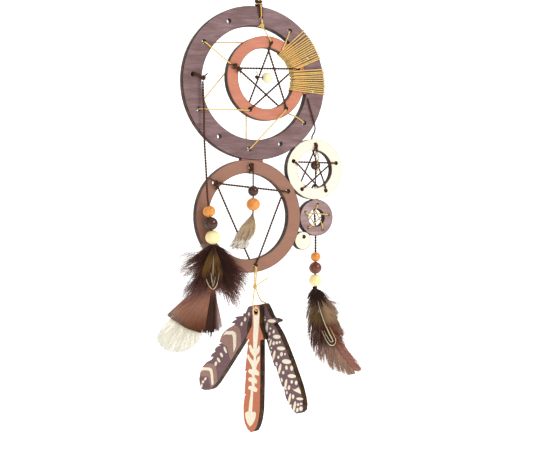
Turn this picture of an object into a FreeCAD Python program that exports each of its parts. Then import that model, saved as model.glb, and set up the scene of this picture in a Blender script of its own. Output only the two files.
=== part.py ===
# Dream catcher made of laser-cut plywood rings, tied with gold and brown
# thread, with bead and feather pendants.  Millimetres, +Z up, front is -Y.
# The origin is the point where a hook carries the hanging loop.
import FreeCAD, Part
import Sketcher
import math
import os
from FreeCAD import Vector, Placement, Rotation

doc = FreeCAD.newDocument("dream_catcher")
sheet = doc.addObject("Spreadsheet::Sheet", "Params")

# ---------------------------------------------------------------- dimensions
VALUES = [
    # plywood
    ("ply", 5.3), ("edge_break", 0.3), ("hole_rad", 1.6),
    # where the mount (hook point) is, in the main ring's own coordinates
    ("mount_x", 3.9), ("mount_z", 86.0),
    # rings: centre x, centre z, outer radius, inner radius, hole circle radius
    ("main_out", 50.0), ("main_in", 37.0), ("main_hc", 43.2), ("main_ang", 84.8),
    ("inner_cx", 8.1), ("inner_cz", 3.4), ("inner_out", 27.6), ("inner_in", 20.0), ("inner_hc", 23.8),
    ("lower_cx", -4.3), ("lower_cz", -86.8), ("lower_out", 36.8), ("lower_in", 28.1), ("lower_hc", 32.4),
    ("cream_cx", 43.2), ("cream_cz", -55.4), ("cream_out", 20.1), ("cream_in", 12.7), ("cream_hc", 16.4),
    ("small_cx", 44.5), ("small_cz", -87.7), ("small_out", 12.15), ("small_in", 5.8), ("small_hc", 9.0),
    ("tiny_cx", 34.7), ("tiny_cz", -103.0), ("tiny_out", 6.05), ("tiny_hole", 1.4),
    ("small_hole", 0.9), ("neck_wide", 15.0),
    # threads and cords (radii)
    ("gold_rad", 0.45), ("star_rad", 0.45), ("cord_rad", 0.75), ("hang_rad", 0.7), ("face_gap", 0.06),
    ("hook_rad", 3.0),
    # beads: radius, cut angle (flattened ends), bore
    ("bead_bore", 1.0),
    ("bl_top_rad", 4.05), ("bl_mid_rad", 4.55), ("bl_low_rad", 4.8),
    ("br_top_rad", 3.4), ("br_mid_rad", 4.3), ("br_low_rad", 4.25),
    ("bc_dark_rad", 3.5), ("bc_warm_rad", 4.5), ("ring_bead_rad", 3.3), ("pearl_rad", 3.5),
    ("bead_cut", 62.0),
    # soft feathers and wooden feathers
    ("plume_thick", 1.0), ("wood_hole", 1.5), ("wood_yaw", 59.0),
]
V = {}
for row, (alias, value) in enumerate(VALUES, start=1):
    sheet.set("A%d" % row, alias)
    sheet.set("B%d" % row, str(value))
    sheet.setAlias("B%d" % row, alias)
doc.recompute()
for alias, _ in VALUES:
    V[alias] = float(getattr(sheet, alias))

T = V["ply"]
HALF = T / 2.0
OFF = Vector(-V["mount_x"], 0.0, -V["mount_z"])      # main-ring coordinates -> frame
nodes = {}


def pt(x, y, z):
    return Vector(x, y, z).add(OFF)


def polar(cx, cz, rad, deg):
    a = math.radians(deg)
    return cx + rad * math.cos(a), cz + rad * math.sin(a)


def keep(name, obj):
    obj.Label = name
    nodes[name] = obj
    return obj


def bind(obj, prop, text):
    obj.setExpression(prop, text)


# ------------------------------------------------------------ plywood helpers
def disc(name, cx, cz, radius_alias, extra=0.0):
    """Part::Cylinder standing along Y through the ply, centred on (cx, cz)."""
    c = doc.addObject("Part::Cylinder", name)
    bind(c, "Radius", "Params.%s" % radius_alias)
    if extra:
        c.Height = T + 2 * extra
    else:
        bind(c, "Height", "Params.ply")
    # cylinder axis Z turned to +Y
    c.Placement = Placement(pt(cx, -HALF - extra, cz), Rotation(Vector(1, 0, 0), -90))
    return c


def pin_hole(name, x, z, radius_alias="hole_rad"):
    return disc(name, x, z, radius_alias, 1.0)


def cut(name, base, tool):
    o = doc.addObject("Part::Cut", name)
    o.Base = base
    o.Tool = tool
    return o


def fuse(name, shapes):
    o = doc.addObject("Part::MultiFuse", name)
    o.Shapes = shapes
    return o


def block(name, cx, cz, deg, wide, deep):
    """A small ply block centred on (cx, cz), wide along the tangent."""
    b = doc.addObject("Part::Box", name)
    b.Length = wide
    b.Height = deep
    bind(b, "Width", "Params.ply")
    rot = Rotation(Vector(0, 1, 0), 90 - deg)
    b.Placement = Placement(pt(cx, 0, cz).sub(rot.multVec(Vector(wide / 2, T / 2, deep / 2))), rot)
    return b


# ------------------------------------------------ rings made as PartDesign bodies
def ring_body(name, cx_a, cz_a, out_a, in_a, hole_a, hc_a, angles, pattern=0):
    body = doc.addObject("PartDesign::Body", name)
    plane = [f for f in body.Origin.OriginFeatures if f.Role == "XZ_Plane"][0]
    sk = body.newObject("Sketcher::SketchObject", name + "_outline")
    sk.AttachmentSupport = (plane, [""])
    sk.MapMode = "FlatFace"
    g = sk.addGeometry(Part.Circle(Vector(0, 0, 0), Vector(0, 0, 1), V[out_a]), False)
    sk.addConstraint(Sketcher.Constraint("Coincident", g, 3, -1, 1))
    k = sk.addConstraint(Sketcher.Constraint("Radius", g, V[out_a]))
    sk.setExpression("Constraints[%d]" % k, "Params." + out_a)
    if in_a:
        g = sk.addGeometry(Part.Circle(Vector(0, 0, 0), Vector(0, 0, 1), V[in_a]), False)
        sk.addConstraint(Sketcher.Constraint("Coincident", g, 3, -1, 1))
        k = sk.addConstraint(Sketcher.Constraint("Radius", g, V[in_a]))
        sk.setExpression("Constraints[%d]" % k, "Params." + in_a)
    pad = body.newObject("PartDesign::Pad", name + "_pad")
    pad.Profile = sk
    bind(pad, "Length", "Params.ply")
    pad.Midplane = True
    doc.recompute()
    edges = ["Edge%d" % (i + 1) for i, e in enumerate(pad.Shape.Edges)
             if isinstance(e.Curve, Part.Circle) and e.isClosed()]
    ch = body.newObject("PartDesign::Chamfer", name + "_edge_break")
    ch.Base = (pad, edges)
    bind(ch, "Size", "Params.edge_break")
    doc.recompute()
    before = ch.Shape.Volume
    last = ch
    if angles:
        hs = body.newObject("Sketcher::SketchObject", name + "_holes")
        hs.AttachmentSupport = (plane, [""])
        hs.MapMode = "FlatFace"
        for a in angles:
            x, z = polar(0, 0, V[hc_a], a)
            if hc_a == "main_hc" or in_a:
                pos = Vector(x, z, 0)
            else:
                pos = Vector(0, 0, 0)
            g = hs.addGeometry(Part.Circle(pos, Vector(0, 0, 1), V[hole_a]), False)
            k = hs.addConstraint(Sketcher.Constraint("Radius", g, V[hole_a]))
            hs.setExpression("Constraints[%d]" % k, "Params." + hole_a)
        po = body.newObject("PartDesign::Pocket", name + "_holes_cut")
        po.Profile = hs
        po.Type = 1
        po.Midplane = True
        doc.recompute()
        last = po
        if pattern:
            pp = body.newObject("PartDesign::PolarPattern", name + "_holes_pattern")
            pp.Originals = [po]
            axis = [f for f in body.Origin.OriginFeatures if f.Role == "Y_Axis"][0]
            pp.Axis = (axis, [""])
            pp.Angle = 360.0
            pp.Occurrences = pattern
            body.Tip = pp
            doc.recompute()
            last = pp
        expected = len(angles) * (pattern or 1) * math.pi * V[hole_a] ** 2 * T
        got = before - last.Shape.Volume
        assert abs(got - expected) < 0.02 * expected, (name, got, expected)
    body.Placement = Placement(pt(V[cx_a] if cx_a else 0.0, 0, V[cz_a] if cz_a else 0.0), Rotation())
    if cx_a:
        body.setExpression(".Placement.Base.x", "Params.%s - Params.mount_x" % cx_a)
        body.setExpression(".Placement.Base.z", "Params.%s - Params.mount_z" % cz_a)
    else:
        body.setExpression(".Placement.Base.x", "-Params.mount_x")
        body.setExpression(".Placement.Base.z", "-Params.mount_z")
    return body


keep("main_ring", ring_body("main_ring", None, None, "main_out", "main_in",
                            "hole_rad", "main_hc", [V["main_ang"]], pattern=12))
SMALL_ANG = [84, 156, 228, 300, 12]
keep("small_ring", ring_body("small_ring", "small_cx", "small_cz", "small_out", "small_in",
                             "small_hole", "small_hc", SMALL_ANG))
keep("tiny_disc", ring_body("tiny_disc", "tiny_cx", "tiny_cz", "tiny_out", None,
                            "tiny_hole", "main_hc", []))

# the tiny disc's hole sits above its centre, so it is a Part cut of the body
hole = pin_hole("tiny_hole_tool", V["tiny_cx"] + 0.5, V["tiny_cz"] + 2.6, "tiny_hole")
tiny_trim = disc("tiny_trim", V["lower_cx"], V["lower_cz"], "lower_out", 1.0)
tiny_trim2 = disc("tiny_trim2", V["small_cx"], V["small_cz"], "small_out", 1.0)
tiny = cut("tiny_a", nodes.pop("tiny_disc"), hole)
tiny = cut("tiny_b", tiny, tiny_trim)
tiny = cut("tiny_disc_cut", tiny, tiny_trim2)
keep("tiny_disc", tiny)

# ------------------------------------------------ rings made with Part booleans
INNER_ANG = [82.5, 164, 240.5, 306, 17.5]
LOWER_ANG = {"L1": 88.0, "L2": 138.0, "L3": 30.5, "L4": 278.0}
CREAM_ANG = [88, 162, 235, 300, 15]

# inner ring: its right side is let into the main ring's opening by a filled web
o = disc("inner_o", V["inner_cx"], V["inner_cz"], "inner_out")
web_outline = [(0, 0)] + [(60 * math.cos(math.radians(a)), 60 * math.sin(math.radians(a))) for a in (-9, 10, 30, 48)]
wire = Part.makePolygon([pt(x, -HALF, z) for x, z in web_outline] + [pt(0, -HALF, 0)])
wedge = doc.addObject("Part::Feature", "inner_wedge")
wedge.Shape = Part.Face(wire).extrude(Vector(0, T, 0))
bore_disc = disc("inner_main_bore", 0, 0, "main_in", 0.0)
web = doc.addObject("Part::MultiCommon", "inner_web")
web.Shapes = [wedge, bore_disc]
inner = fuse("inner_fused", [o, web])
inner = cut("inner_bored", inner, disc("inner_i", V["inner_cx"], V["inner_cz"], "inner_in", 1.0))
for n, a in enumerate(INNER_ANG):
    x, z = polar(V["inner_cx"], V["inner_cz"], V["inner_hc"], a)
    inner = cut("inner_h%d" % n, inner, pin_hole("inner_ht%d" % n, x, z))
keep("inner_ring", inner)

# lower ring: a flat-topped neck meets the main ring
o = disc("lower_o", V["lower_cx"], V["lower_cz"], "lower_out")
neck = block("lower_neck", -1.9, -52.4, 90, V["neck_wide"], 7.0)
bind(neck, "Length", "Params.neck_wide")
lower = fuse("lower_fused", [o, neck])
lower = cut("lower_bored", lower, disc("lower_i", V["lower_cx"], V["lower_cz"], "lower_in", 1.0))
lower = cut("lower_seat", lower, disc("lower_seat_tool", 0, 0, "main_out", 1.0))
for key in sorted(LOWER_ANG):
    x, z = polar(V["lower_cx"], V["lower_cz"], V["lower_hc"], LOWER_ANG[key])
    lower = cut("lower_h" + key, lower, pin_hole("lower_ht" + key, x, z))
keep("lower_ring", lower)

# cream ring: saddle pads where it is glued to the main and lower rings
o = disc("cream_o", V["cream_cx"], V["cream_cz"], "cream_out")
a1 = math.degrees(math.atan2(0 - V["cream_cz"], 0 - V["cream_cx"]))
a2 = math.degrees(math.atan2(V["lower_cz"] - V["cream_cz"], V["lower_cx"] - V["cream_cx"]))
p1 = polar(V["cream_cx"], V["cream_cz"], V["cream_out"] - 0.2, a1)
p2 = polar(V["cream_cx"], V["cream_cz"], V["cream_out"] - 0.2, a2)
a3 = math.degrees(math.atan2(V["small_cz"] - V["cream_cz"], V["small_cx"] - V["cream_cx"]))
p3 = polar(V["cream_cx"], V["cream_cz"], V["cream_out"] - 0.2, a3)
cream = fuse("cream_fused", [o, block("cream_pad1", p1[0], p1[1], a1, 5.0, 1.6),
                             block("cream_pad2", p2[0], p2[1], a2, 5.0, 1.6),
                             block("cream_pad3", p3[0], p3[1], a3, 4.0, 1.4)])
cream = cut("cream_bored", cream, disc("cream_i", V["cream_cx"], V["cream_cz"], "cream_in", 1.0))
cream = cut("cream_seat1", cream, disc("cream_seat1_tool", 0, 0, "main_out", 1.0))
cream = cut("cream_seat2", cream, disc("cream_seat2_tool", V["lower_cx"], V["lower_cz"], "lower_out", 1.0))
cream = cut("cream_seat3", cream, disc("cream_seat3_tool", V["small_cx"], V["small_cz"], "small_out", 1.0))
for n, a in enumerate(CREAM_ANG):
    x, z = polar(V["cream_cx"], V["cream_cz"], V["cream_hc"], a)
    cream = cut("cream_h%d" % n, cream, pin_hole("cream_ht%d" % n, x, z, "tiny_hole"))
keep("cream_ring", cream)

# the small ring is seated against the lower ring
small = cut("small_seat", nodes.pop("small_ring"),
            disc("small_seat_tool", V["lower_cx"], V["lower_cz"], "lower_out", 1.0))
keep("small_ring", small)

# ---------------------------------------------------------------- cord helper
def cord_path(points, fixed=None, label=""):
    """Straight runs joined by tangent arcs.  Arc radius 0.45 of the shorter
    run over the tangent of half the turn, or `fixed` where a thread folds
    round the edge of a hole."""
    pts = [Vector(*p) for p in points]
    segs = []
    start = pts[0]
    radii = []
    for i in range(1, len(pts) - 1):
        a, b, c = pts[i - 1], pts[i], pts[i + 1]
        u = b.sub(a)
        w = c.sub(b)
        lu, lw = u.Length, w.Length
        u = u * (1.0 / lu)
        w = w * (1.0 / lw)
        turn = math.acos(max(-1.0, min(1.0, u.dot(w))))
        if turn < 1e-4:
            continue
        short = min(lu, lw)
        rad = 0.45 * short / math.tan(turn / 2.0)
        if fixed and turn > math.radians(50):
            rad = min(rad, fixed)
        rad = min(rad, 400.0)
        tl = rad * math.tan(turn / 2.0)
        p_in = b.sub(u * tl)
        p_out = b.add(w * tl)
        bis = w.sub(u)
        bis = bis * (1.0 / bis.Length)
        mid = b.add(bis * (rad / math.cos(turn / 2.0) - rad))
        if p_in.sub(start).Length > 1e-5:
            segs.append(Part.LineSegment(start, p_in).toShape())
        segs.append(Part.Arc(p_in, mid, p_out).toShape())
        start = p_out
        radii.append(round(rad, 1))
    segs.append(Part.LineSegment(start, pts[-1]).toShape())
    wire = Part.Wire(segs)
    if label:
        print(label, "length %.1f mm, arc radii" % wire.Length, radii)
    return wire


def tube(points, rad, fixed=None, label=""):
    wire = cord_path(points, fixed, label)
    first = wire.Edges[0]
    tangent = first.tangentAt(first.FirstParameter)
    profile = Part.Wire([Part.Circle(wire.Vertexes[0].Point, tangent, rad).toShape()])
    start = Vector(*points[0])
    profile = Part.Wire([Part.Circle(start, tangent, rad).toShape()])
    shape = wire.makePipeShell([profile], True, False, 1)
    if shape.ShapeType != "Solid":
        shape = shape.Solids[0]
    want = math.pi * rad * rad * wire.Length
    assert abs(shape.Volume - want) < 0.02 * want, (label, shape.Volume, want)
    return shape


def feature(name, shape, shift=True):
    """A Part::Feature in main-ring coordinates, placed into the frame."""
    f = doc.addObject("Part::Feature", name)
    f.Shape = shape
    f.Placement = Placement(OFF if shift else Vector(0, 0, 0), Rotation())
    return keep(name, f)


def ball(x, y, z, rx, ry, rz):
    s = Part.makeSphere(1.0)
    m = FreeCAD.Matrix()
    m.scale(rx, ry, rz)
    m.move(Vector(x, y, z))
    return s.transformGeometry(m)


def one(shape):
    """The single solid of a boolean result."""
    assert len(shape.Solids) == 1, len(shape.Solids)
    return shape.Solids[0]


GR, SR, CR, HR, GAP = V["gold_rad"], V["star_rad"], V["cord_rad"], V["hang_rad"], V["face_gap"]
FG = -HALF - GR - GAP            # gold thread on the front face
BG = HALF + GR + GAP
FC = -HALF - CR - GAP            # brown cord on the front face
BC = HALF + CR + GAP


def shifted(hole, centre, amount):
    """A hole's position moved towards (+) or away from (-) a centre."""
    dx, dz = centre[0] - hole[0], centre[1] - hole[1]
    d = math.hypot(dx, dz)
    return hole[0] + dx / d * amount, hole[1] + dz / d * amount


H = [polar(0, 0, V["main_hc"], V["main_ang"] + 30 * k) for k in range(12)]     # H[0] is the top hole
IC = (V["inner_cx"], V["inner_cz"])
I = [polar(IC[0], IC[1], V["inner_hc"], a) for a in INNER_ANG]
LC = (V["lower_cx"], V["lower_cz"])
L = dict((k, polar(LC[0], LC[1], V["lower_hc"], a)) for k, a in LOWER_ANG.items())
CC = (V["cream_cx"], V["cream_cz"])
C = [polar(CC[0], CC[1], V["cream_hc"], a) for a in CREAM_ANG]
SC = (V["small_cx"], V["small_cz"])
S = [polar(SC[0], SC[1], V["small_hc"], a) for a in SMALL_ANG]


# ---------------------------------------------------------------- hanging loop
hr = V["hook_rad"] + HR
x0, zk = V["mount_x"], 54.2
top_c = V["mount_z"] - V["hook_rad"]
left = [(x0 - 0.85, 0, zk), (x0 - 2.2, 0, zk + 12), (x0 - hr, 0, top_c - 2.0)]
arc_a = Vector(x0 - hr, 0, top_c)
up1 = Part.LineSegment(Vector(x0 - 0.85, 0, zk), arc_a).toShape()
# strand direction meets the hook circle tangentially
tang = math.atan2(arc_a.z - zk, hr - 0.85)
a_t = Vector(x0 - hr * math.sin(tang), 0, top_c - hr * math.cos(tang) * 1.0)


def tangent_point(px, pz, cx, cz, rad, side):
    dx, dz = px - cx, pz - cz
    d = math.hypot(dx, dz)
    base = math.atan2(dz, dx)
    off = math.acos(rad / d)
    ang = base + side * off
    return cx + rad * math.cos(ang), cz + rad * math.sin(ang)


tl = tangent_point(x0 - 0.85, zk, x0, top_c, hr, -1)
tr = tangent_point(x0 + 0.85, zk, x0, top_c, hr, 1)
loop_wire = Part.Wire([
    Part.LineSegment(Vector(x0 - 0.85, 0, zk), Vector(tl[0], 0, tl[1])).toShape(),
    Part.Arc(Vector(tl[0], 0, tl[1]), Vector(x0, 0, top_c + hr), Vector(tr[0], 0, tr[1])).toShape(),
    Part.LineSegment(Vector(tr[0], 0, tr[1]), Vector(x0 + 0.85, 0, zk)).toShape()])
e = loop_wire.Edges[0]
tg = Vector(tl[0] - x0 + 0.85, 0, tl[1] - zk)
tg.normalize()
loop = loop_wire.makePipeShell([Part.Wire([Part.Circle(Vector(x0 - 0.85, 0, zk), tg, HR).toShape()])], True, False, 1)
loop = loop.Solids[0]
print("hanger_loop length %.1f mm, arc radius %.1f, ends z %.1f" % (loop_wire.Length, hr, zk),
      "tangent points", [round(v, 2) for v in tl + tr])
feature("hanger_loop", loop)

# the tie: a knot above the rim and a loop down both faces and through the top hole
hx, hz = H[0]
TY = HALF + HR + 0.25
tie = tube([(hx - 0.2, -1.0, 52.6), (hx - 0.2, -TY, 50.2), (hx, -TY, hz), (hx, TY, hz), (hx - 0.2, TY, 50.2), (hx - 0.2, 1.0, 52.6)],
           HR, 1.3)
tie = one(tie.fuse(ball(x0 - 0.3, 0, 52.1, 2.5, 2.2, 1.75).cut(Part.makeBox(10, 10, 5, Vector(x0 - 5, -5, 50.0 - 4.7)))))
feature("hanger_tie", tie)

# ---------------------------------------------------------------- gold web
def g_in(k):                    # gold passes the inner ring's holes on their outer side
    return shifted(I[k], IC, -0.62)


web_pts = [(4.4, FG - 0.5, 41.0), (4.9, FG - 0.2, 36.3)]
seq = []
x, z = g_in(0)
web_pts += [(x, FG, z), (x, BG, z)]
for hole_i, inner_i in ((2, 1), (4, 2), (6, 3)):
    x, z = H[hole_i]
    web_pts += [(x, BG, z), (x, FG, z)]
    x, z = g_in(inner_i)
    web_pts += [(x, FG, z), (x, BG, z)]
x, z = g_in(3)
x9, z9 = H[8]
d = math.hypot(x9 - x, z9 - z)
ux, uz = (x9 - x) / d, (z9 - z) / d
web_pts += [(x + ux * 4.1, BG, z + uz * 4.1), (x + ux * 8.1, FG, z + uz * 8.1), (x9, FG, z9), (x9, HALF - 0.6, z9)]
web_shape = tube(web_pts, GR, 0.95)
web_shape = one(web_shape.fuse(ball(4.6, FG - 0.1, 36.6, 1.0, 0.6, 1.0).cut(
    Part.makeBox(8, 8, 8, Vector(0, -HALF - 0.03, 30)))))
# the end that starts the lashing, from hole 12 to the inner ring's edge
feature("web_thread", web_shape)
x12, z12 = H[11]
lead = tube([(x12, HALF - 0.6, z12), (x12, FG, z12), (19.6, FG, 23.2)], GR, 0.95)
feature("lashing_lead", lead)

# ---------------------------------------------------------------- gold lashing
# a closed sleeve of wraps over both rings, fanning out to the right
def sector(pts, y0, y1):
    w = Part.makePolygon([Vector(x, y0, z) for x, z in pts] + [Vector(pts[0][0], y0, pts[0][1])])
    return Part.Face(w).extrude(Vector(0, y1 - y0, 0))


def cyl(cx, cz, rad, y0, y1):
    return Part.makeCylinder(rad, y1 - y0, Vector(cx, y0, cz), Vector(0, 1, 0))


WR = 0.9
fan = [(16.0, 17.6), (35.6, 36.9), (45, 33), (56, 18), (56, -6.3), (26.0, -2.9), (20, 4)]
outer = sector(fan, -HALF - WR, HALF + WR).common(cyl(0, 0, V["main_out"] + WR, -HALF - WR, HALF + WR))
outer = outer.cut(cyl(IC[0], IC[1], V["inner_in"] - WR, -20, 20))
core = cyl(0, 0, V["main_out"] + 0.04, -HALF - 0.04, HALF + 0.04).cut(cyl(IC[0], IC[1], V["inner_in"] - 0.04, -20, 20))
sleeve = outer.cut(core)
feature("lashing", one(sleeve))

# ---------------------------------------------------------------- stars
def edge_on(p, q, centre, rad, margin):
    """The point on p->q, from p, that is `margin` inside the circle."""
    dx, dz = q[0] - p[0], q[1] - p[1]
    d = math.hypot(dx, dz)
    ux, uz = dx / d, dz / d
    px, pz = p[0] - centre[0], p[1] - centre[1]
    b = px * ux + pz * uz
    c = px * px + pz * pz - (rad - margin) ** 2
    s = -b - math.sqrt(b * b - c)
    return p[0] + ux * s, p[1] + uz * s


def star(order, holes, centre, bore, rad, shift, close=True):
    """A thread that leaves each hole over the front face, crosses the
    opening and comes back over the rear face to the next hole."""
    f, b = -HALF - rad - GAP, HALF + rad + GAP
    hs = [shifted(holes[k], centre, shift) for k in order]
    pts = []
    n = len(hs)
    for k in range(n if close else n - 1):
        p, q = hs[k], hs[(k + 1) % n]
        e1 = edge_on(p, q, centre, bore, rad + 0.2)
        e2 = edge_on(q, p, centre, bore, rad + 0.2)
        pts.append((p[0], f, p[1]))
        pts.append((e1[0], f, e1[1]))
        pts.append((e2[0], b, e2[1]))
        if close and k == n - 1:
            pts.append((q[0] + 0.3, b, q[1]))
        else:
            pts.append((q[0], b, q[1]))
    return pts


# inner star: order 2 -> 4 -> 1 -> 3 -> 5 -> 2
star_pts = star([1, 3, 0, 2, 4], I, IC, V["inner_in"], SR, 0.62)
# the start is turned into the hole's front knot
star_shape = tube(star_pts, SR, 0.95)
kx, kz = shifted(I[1], IC, 1.6)
knot = ball(kx - 0.6, -HALF - 1.35, kz + 0.2, 2.5, 1.3, 2.3)
star_shape = one(star_shape.fuse(knot))
feature("inner_star", star_shape)

# pearl tied to the star by its own short thread, in the middle of the opening
pearl_s = doc.addObject("Part::Sphere", "pearl_body")
bind(pearl_s, "Radius", "Params.pearl_rad")
pearl_b = doc.addObject("Part::Cylinder", "pearl_bore")
pearl_b.Radius = 0.6
pearl_b.Height = 10.0
pearl_turn = Rotation(Vector(0, 0, 1), Vector(1, 0, 0))
pearl_s.Placement = Placement(pt(7.4, -5.2, 3.4), pearl_turn)
pearl_b.Placement = Placement(pt(2.4, -5.2, 3.4), pearl_turn)
keep("pearl_bead", cut("pearl_bead", pearl_s, pearl_b))
feature("pearl_tie", one(ball(1.5, -1.6, 4.0, 1.5, 1.2, 1.7).fuse(
    tube([(1.6, -2.0, 4.0), (2.9, -4.8, 3.6), (4.4, -5.2, 3.4), (11.5, -5.2, 3.4)], 0.4))))

# cream-ring star: top -> low-left -> right -> left -> low-right -> top
cream_star_pts = star([0, 2, 4, 1, 3], C, CC, V["cream_in"], SR, 0.5)
feature("cream_star", tube(cream_star_pts, SR, 0.95))

# small gold star
small_pts = star([0, 2, 4, 1, 3], S, SC, V["small_in"], 0.3, 0.0)
feature("small_star", tube(small_pts, 0.3, 0.85))

# ---------------------------------------------------------------- lower triangle
l2, l3, l4 = (shifted(L[k], LC, 0.62) for k in ("L2", "L3", "L4"))
e34a = edge_on(l3, l4, LC, V["lower_in"], SR + 0.2)
e34b = edge_on(l4, l3, LC, V["lower_in"], SR + 0.2)
e42a = edge_on(l4, l2, LC, V["lower_in"], SR + 0.2)
e42b = edge_on(l2, l4, LC, V["lower_in"], SR + 0.2)
FS, BS = -HALF - SR - GAP, HALF + SR + GAP
tri_pts = [(l2[0], FS, l2[1]), (l3[0], FS, l3[1]), (l3[0], BS, l3[1]),
           (e34a[0], BS, e34a[1]), (e34b[0], FS, e34b[1]), (l4[0], FS, l4[1]), (l4[0], BS, l4[1]),
           (e42a[0], BS, e42a[1]), (e42b[0], FS - 0.1, e42b[1]), (l2[0] + 0.9, FS - 0.9, l2[1] - 1.1)]
tri = tube(tri_pts, SR, 0.95)
kn = Part.makeCylinder(2.3, 2.5, Vector(l2[0] + 0.5, -HALF - 2.56, l2[1] - 0.5), Vector(0, 1, 0))
kn = kn.makeFillet(0.9, [e for e in kn.Edges if isinstance(e.Curve, Part.Circle)])
feature("triangle_thread", one(tri.fuse(kn)))

# ---------------------------------------------------------------- left tie and pendant
h4 = H[3]
left_tie = tube([(-37.0, FC - 0.3, 2.6), (h4[0], FC, h4[1]), (h4[0], BC, h4[1]), (-35.3, BC, 2.4), (-35.3, FC - 0.2, 1.9)], CR, 1.6)
left_tie = one(left_tie.fuse(ball(-36.6, FC - 0.75, 1.9, 1.9, 1.4, 1.9)))
feature("left_tie", left_tie)

# route of the left cord: a near-straight hanging length, then a straight
# length down the bores of three beads and into the feathers' binding
LEFT = [(-37.1, -4.9, -0.7), (-36.3, -5.1, -20.0), (-36.6, -5.6, -36.0), (-35.7, -6.5, -54.0), (-35.2, -7.3, -69.5),
        (-35.0, -7.6, -76.5), (-30.9, -7.8, -104.4)]
feature("left_cord", tube(LEFT, CR, None, "left_cord"))


def bead(name, centre, direction, alias):
    """A turned wooden bead: sphere with flattened ends and a bore."""
    s = doc.addObject("Part::Sphere", name + "_body")
    bind(s, "Radius", "Params." + alias)
    bind(s, "Angle1", "-Params.bead_cut")
    bind(s, "Angle2", "Params.bead_cut")
    b = doc.addObject("Part::Cylinder", name + "_bore")
    bind(b, "Radius", "Params.bead_bore")
    b.Height = 14.0
    rot = Rotation(Vector(0, 0, 1), Vector(*direction))
    s.Placement = Placement(pt(*centre), rot)
    b.Placement = Placement(pt(*centre).sub(rot.multVec(Vector(0, 0, 7))), rot)
    return keep(name, cut(name, s, b))


def along(a, b, z):
    f = (z - a[2]) / (b[2] - a[2])
    return tuple(a[k] + f * (b[k] - a[k]) for k in range(3))


LA, LB = LEFT[-2], LEFT[-1]
ldir = tuple(LA[k] - LB[k] for k in range(3))
bead("left_bead_top", along(LA, LB, -83.6), ldir, "bl_top_rad")
bead("left_bead_middle", along(LA, LB, -91.4), ldir, "bl_mid_rad")
bead("left_bead_low", along(LA, LB, -100.1), ldir, "bl_low_rad")


def plume(name, outline, y_mid, thick):
    """Plain closed solid of a soft feather: an outline extruded along Y."""
    w = Part.makePolygon([Vector(x, y_mid - thick / 2, z) for x, z in outline] +
                         [Vector(outline[0][0], y_mid - thick / 2, outline[0][1])])
    return feature(name, Part.Face(w).extrude(Vector(0, thick, 0)))


PT = V["plume_thick"]
feature("left_binding", Part.makeCone(1.7, 2.1, 4.6, Vector(-30.6, -7.8, -109.4), Vector(-0.05, 0, 1)))
plume("left_feather_almond", [(-31.5, -110.0), (-30.0, -110.0), (-25.5, -114), (-22.5, -121), (-23.5, -129), (-29.5, -139), (-32.0, -139.5),
                              (-38, -131), (-41.5, -122), (-39, -114)], -9.9, PT)
plume("left_feather_brown", [(-32.5, -110.0), (-29.5, -110.0), (-14, -113), (-8.5, -125), (-13, -146), (-19, -160), (-28, -165),
                             (-40, -163), (-61, -149), (-58, -132), (-59, -115), (-46, -108.5)], -7.8, PT)
plume("left_feather_cream", [(-33.0, -110.0), (-30.0, -110.0), (-27, -150), (-30, -167), (-38, -173), (-51, -176), (-64, -170),
                             (-70, -161), (-62, -150), (-45, -125)], -5.7, PT)

# ---------------------------------------------------------------- centre pendant
l1 = L["L1"]
centre_tie = tube([(l1[0] + 0.2, HALF - 0.5, l1[1]), (l1[0] + 0.2, FC, l1[1]), (-2.6, FC - 0.4, -57.8)], 0.6, 1.3)
centre_tie = one(centre_tie.fuse(ball(-3.0, -HALF - 1.45, -54.4, 1.9, 1.4, 3.0)))
feature("centre_tie", centre_tie)
CENTRE = [(-3.0, -6.5, -54.6), (-3.3, -7.4, -64.2), (-3.5, -7.5, -85.0)]
feature("centre_cord", tube(CENTRE, 0.6, None, "centre_cord"))
cdir = tuple(CENTRE[1][k] - CENTRE[2][k] for k in range(3))
bead("centre_bead_dark", along(CENTRE[1], CENTRE[2], -70.4), cdir, "bc_dark_rad")
bead("centre_bead_warm", along(CENTRE[1], CENTRE[2], -79.0), cdir, "bc_warm_rad")
plume("centre_feather", [(-4.4, -85.5), (-2.4, -85.5), (-0.5, -91), (-3.0, -101), (-10, -110), (-15, -112.5), (-22, -108),
                         (-24, -103), (-16, -97), (-8, -89)], -7.5, 1.6)

# ---------------------------------------------------------------- right string
# from under the lashing over the main ring's edge, behind the cream ring's
# rim, forward through its top hole, down through a bead to the inner edge
c1 = shifted(C[0], CC, -0.55)
RIGHT_TOP = [(37.4, FC, -8.6), (43.6, FC, -28.6), (43.8, BC + 0.15, -34.0), (c1[0], BC + 0.15, c1[1]), (c1[0], -4.3, c1[1]),
             (c1[0] - 0.3, -4.3, c1[1] - 5.0), (43.25, -3.5, -47.6), (43.25, -3.5, -63.6), (43.3, -3.2, -66.2)]
rs = tube(RIGHT_TOP, 0.6, 1.3)
rs = one(rs.fuse(ball(43.3, -2.6, -66.4, 1.4, 1.4, 1.3)))
feature("right_string", rs)
bead("ring_bead", (43.25, -3.5, -52.9), (0, 0, 1), "ring_bead_rad")

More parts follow.
